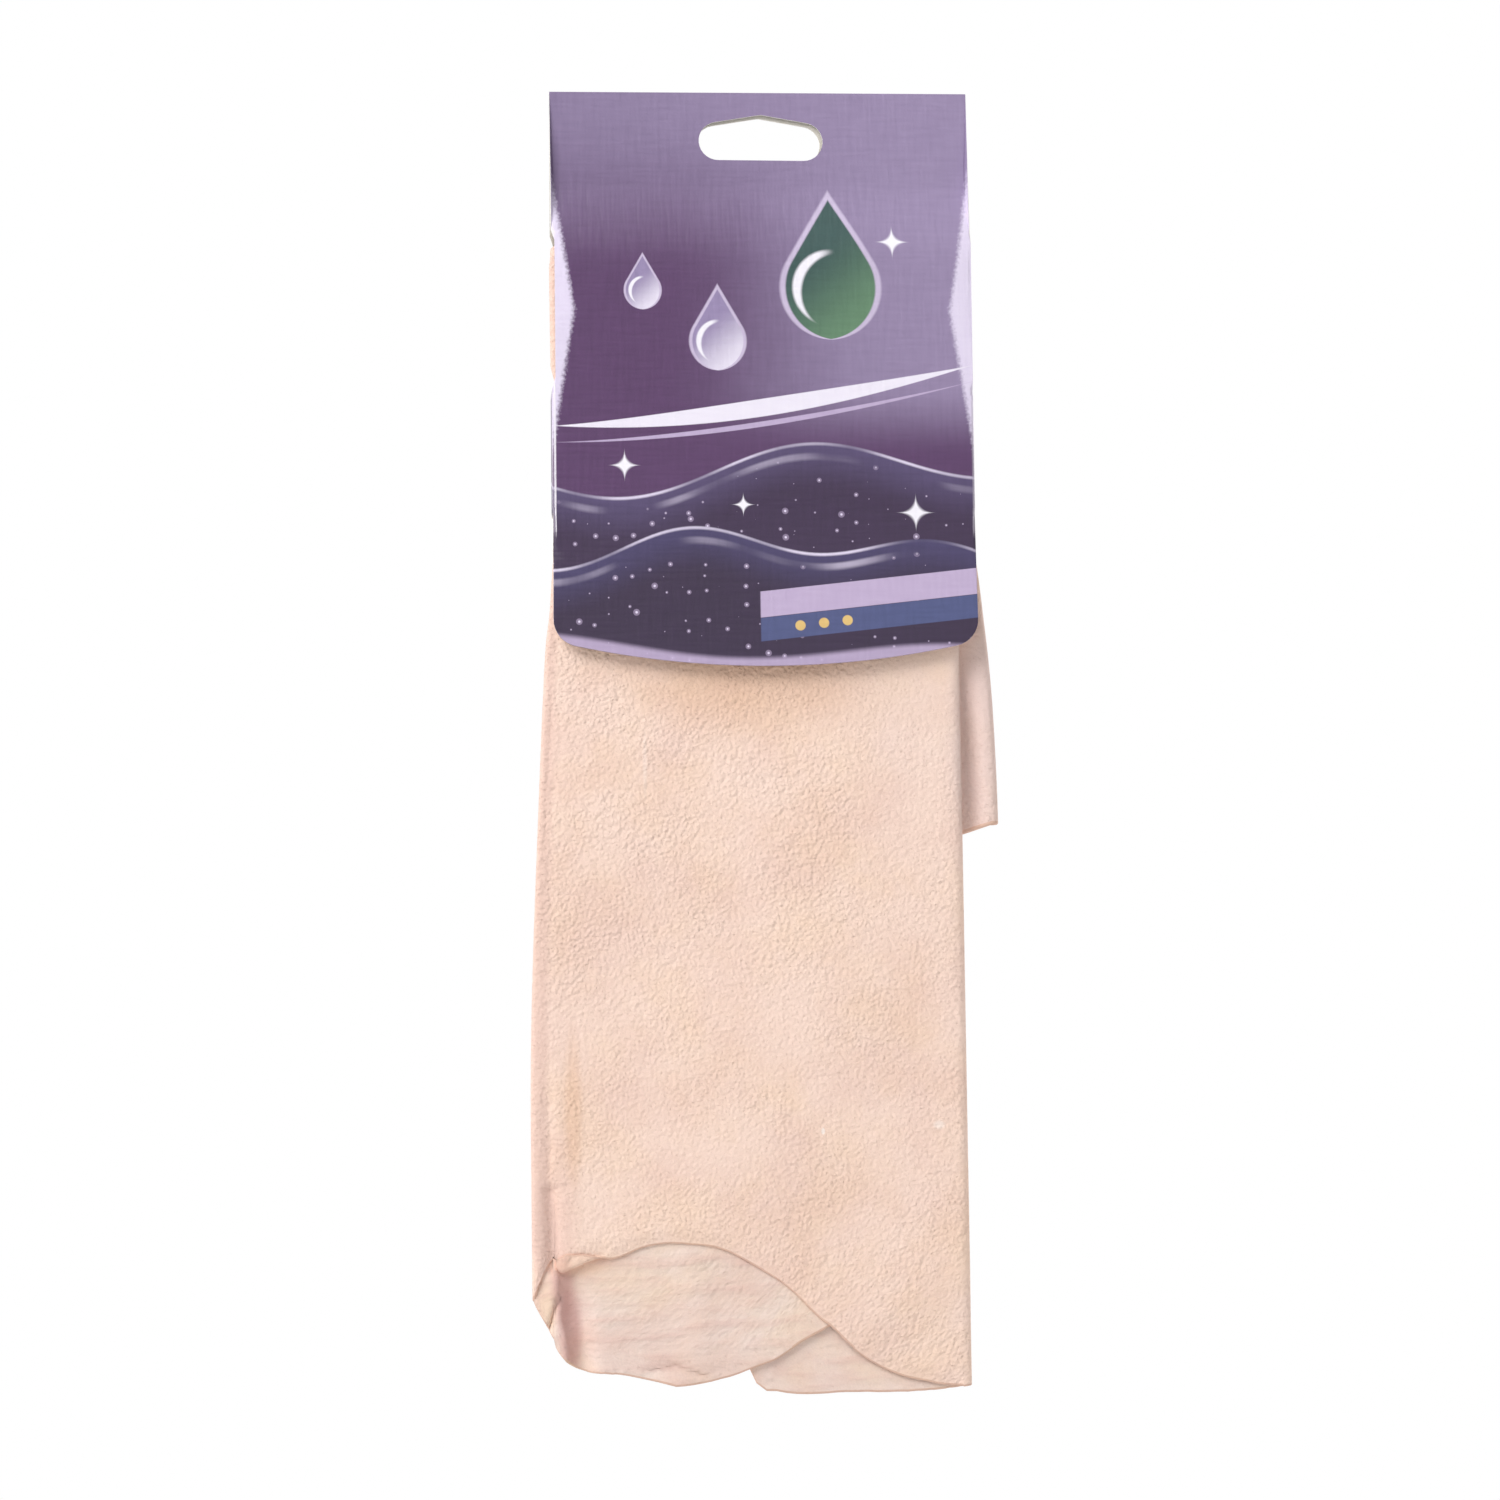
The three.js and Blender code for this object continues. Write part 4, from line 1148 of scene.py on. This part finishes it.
# Uneven tan: slow yellow and pink patches over the hide
hide_tone, given = new_group("hide_tone", {"Place": (0.0, 0.0, 0.0), "Patch": 26.0}, ["Yellow", "Pink"])
scaled = shrunk(given["Place"], given["Patch"])
tones = []
for offset in ((0.0, 0.0, 0.0), (7.3, 2.9, 4.1)):
    moved = out(hide_tone, "ShaderNodeVectorMath", {0: scaled, 1: offset}, operation="ADD")
    tones.append(ramp(cloud(moved, 1.0, 4.0, Roughness=0.6), 0.36, 0.72))
add(hide_tone, "NodeGroupOutput", dict(enumerate(tones)))

yellow_tan, pink_tan, pit_tan = ink("F0CBA0"), ink("DDB3A8"), ink("C79A86")
rubbed_tan, patch_tan, worn_pale = ink("E2C2B5"), ink("E3B999"), ink("FFF2EA")
painted_shade_pink, lip_tan, grey_tan = ink("CFA09A"), ink("F6CDB2"), ink("DEC9C8")
rubbed_column = 14  # of the roll: its most rubbed line
fold_line = float(hide_place[level_row, np.argmax(is_roll) + rubbed_column][0])
marks = {  # across, up, half width, half height, softness, share, colour
    "nap_side": [
        (-0.5, -144.0, 27.0, 12.0, 0.8, 0.55, patch_tan),
        (-13.0, -153.0, 12.0, 6.0, 0.9, 0.2, patch_tan),
        (51.6, -132.5, 2.6, 3.4, 0.8, 0.5, pink_tan),
        (-54.0, -280.0, 4.0, 18.0, 0.8, 0.3, pink_tan),
        (-50.2, -254.0, 2.0, 16.0, 0.6, 0.45, patch_tan),
        (-44.0, -297.0, 11.0, 5.0, 0.9, 0.35, yellow_tan),
        (-31.5, -168.0, 0.5, 7.0, 0.6, 0.22, worn_pale),
        (12.2, -260.0, 0.45, 0.8, 0.3, 0.8, worn_pale),
        (41.5, -258.8, 1.3, 1.0, 0.5, 0.5, worn_pale),
        (35.0, -155.0, 15.0, 16.0, 0.9, 0.2, worn_pale),
        (54.0, -160.0, 7.0, 34.0, 0.6, 0.5, grey_tan),
        # Painted shade: darker pink along the left fold's groove
        (-57.5, -282.0, 2.2, 12.0, 0.8, 0.28, painted_shade_pink),
    ],
    "smooth_side": [
        # Painted shade: the next two marks darken the pinched corner's right flank to a warm pink
        (-53.2, -297.5, 2.5, 9.0, 0.5, 0.7, painted_shade_pink),
        (-51.2, -309.0, 2.7, 11.0, 0.5, 0.7, painted_shade_pink),
        (-57.2, -302.5, 2.2, 6.0, 0.7, 0.3, yellow_tan),
        (-49.5, -291.8, 7.0, 3.0, 0.4, 0.5, lip_tan),
        (-12.0, -307.0, 14.0, 8.0, 0.9, 0.2, worn_pale),
        (-37.0, -296.0, 11.0, 5.0, 0.9, 0.25, yellow_tan),
    ],
}
# Where the nap is rubbed flatter: as the marks, without a colour
flattened = [(43.0, -151.0, 20.0, 28.0, 0.9, 0.55), (0.0, -275.0, 80.0, 58.0, 0.5, 0.2)]
behind_deep, front_deep = -1.3, -1.7  # the nap behind the front layer is further back than the first depth
behind_from = 50.0  # marks from here on to the right are on the layers behind as well
rubbed_from, rubbed_to, rubbed_share = 7.0, 4.5, 0.75
line_width, line_relief, line_share = 3.2, 2.5, 0.32
hide_roughness, hide_gloss = 0.92, 0.2
for name, code, pebble, depth, tone, pit_share in (
    ("nap_side", "F7DBCC", 0.92, 0.44, 0.27, 0.2),
    ("smooth_side", "EDD9CE", 1.5, 0.26, 0.35, 0.1),
    # The cut edge's colour is darker and pinker than the nap's: partly the raw edge's own colour, partly
    # painted shade along the cut edges
    ("cut_hide", "DEBBA9", 0.9, 0.1, 0.2, 0.2),
):
    material, tree = blank_material(name)
    place, across, _ = map_place(tree, "hide", hide_origin, hide_span)
    tones = use(tree, hide_tone, place=place)
    colour = tint(tones["Yellow"] * tone, ink(code), yellow_tan)
    colour = tint(tones["Pink"] * tone, colour, pink_tan)
    grain = use(tree, nap_grain, place=place, pebble=pebble)
    height = grain["Height"]
    folded = parts(out(tree, "ShaderNodeTexCoord", output="Object"))
    seen_at = (folded["X"] / mm, folded["Z"] / mm)
    for *ellipse, strength, mark_colour in marks.get(name, []):
        mark = spot_at(*seen_at, *ellipse) * strength
        if name == "nap_side" and ellipse[0] < behind_from:
            mark = mark * ramp(folded["Y"] / mm, behind_deep, front_deep)
        colour = tint(mark, colour, mark_colour)
    if name == "nap_side":
        rubbed = ramp(abs(across - fold_line), rubbed_from, rubbed_to) * rubbed_share
        colour = tint(rubbed, colour, rubbed_tan)
        for *ellipse, strength in flattened:
            height = height * (1.0 - spot_at(*seen_at, *ellipse) * strength)
    if name == "smooth_side":
        lines = noise(place, line_width, 2.0, (0.2, 1, 1))
        colour = tint(ramp(lines, 0.42, 0.72, 0, line_share), colour, pink_tan)
        height = height + lines * line_relief
    # The pits are tinted darker: partly the nap's own specks, partly painted shade in the pits
    colour = tint(grain["Pit"] * pit_share, colour, pit_tan)
    fleck = ramp(grain["Fibre"], 0.35, 0.65, 0.97, 1.03, kind="LINEAR")
    colour = out(tree, "ShaderNodeHueSaturation", {"Color": colour, "Value": fleck})
    finish_surface(tree, colour, height, depth * mm, hide_roughness, **{"Specular IOR Level": hide_gloss})
    skin_mesh.materials.append(material)

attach(skin, "folded_skin")
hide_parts("chamois_skin")
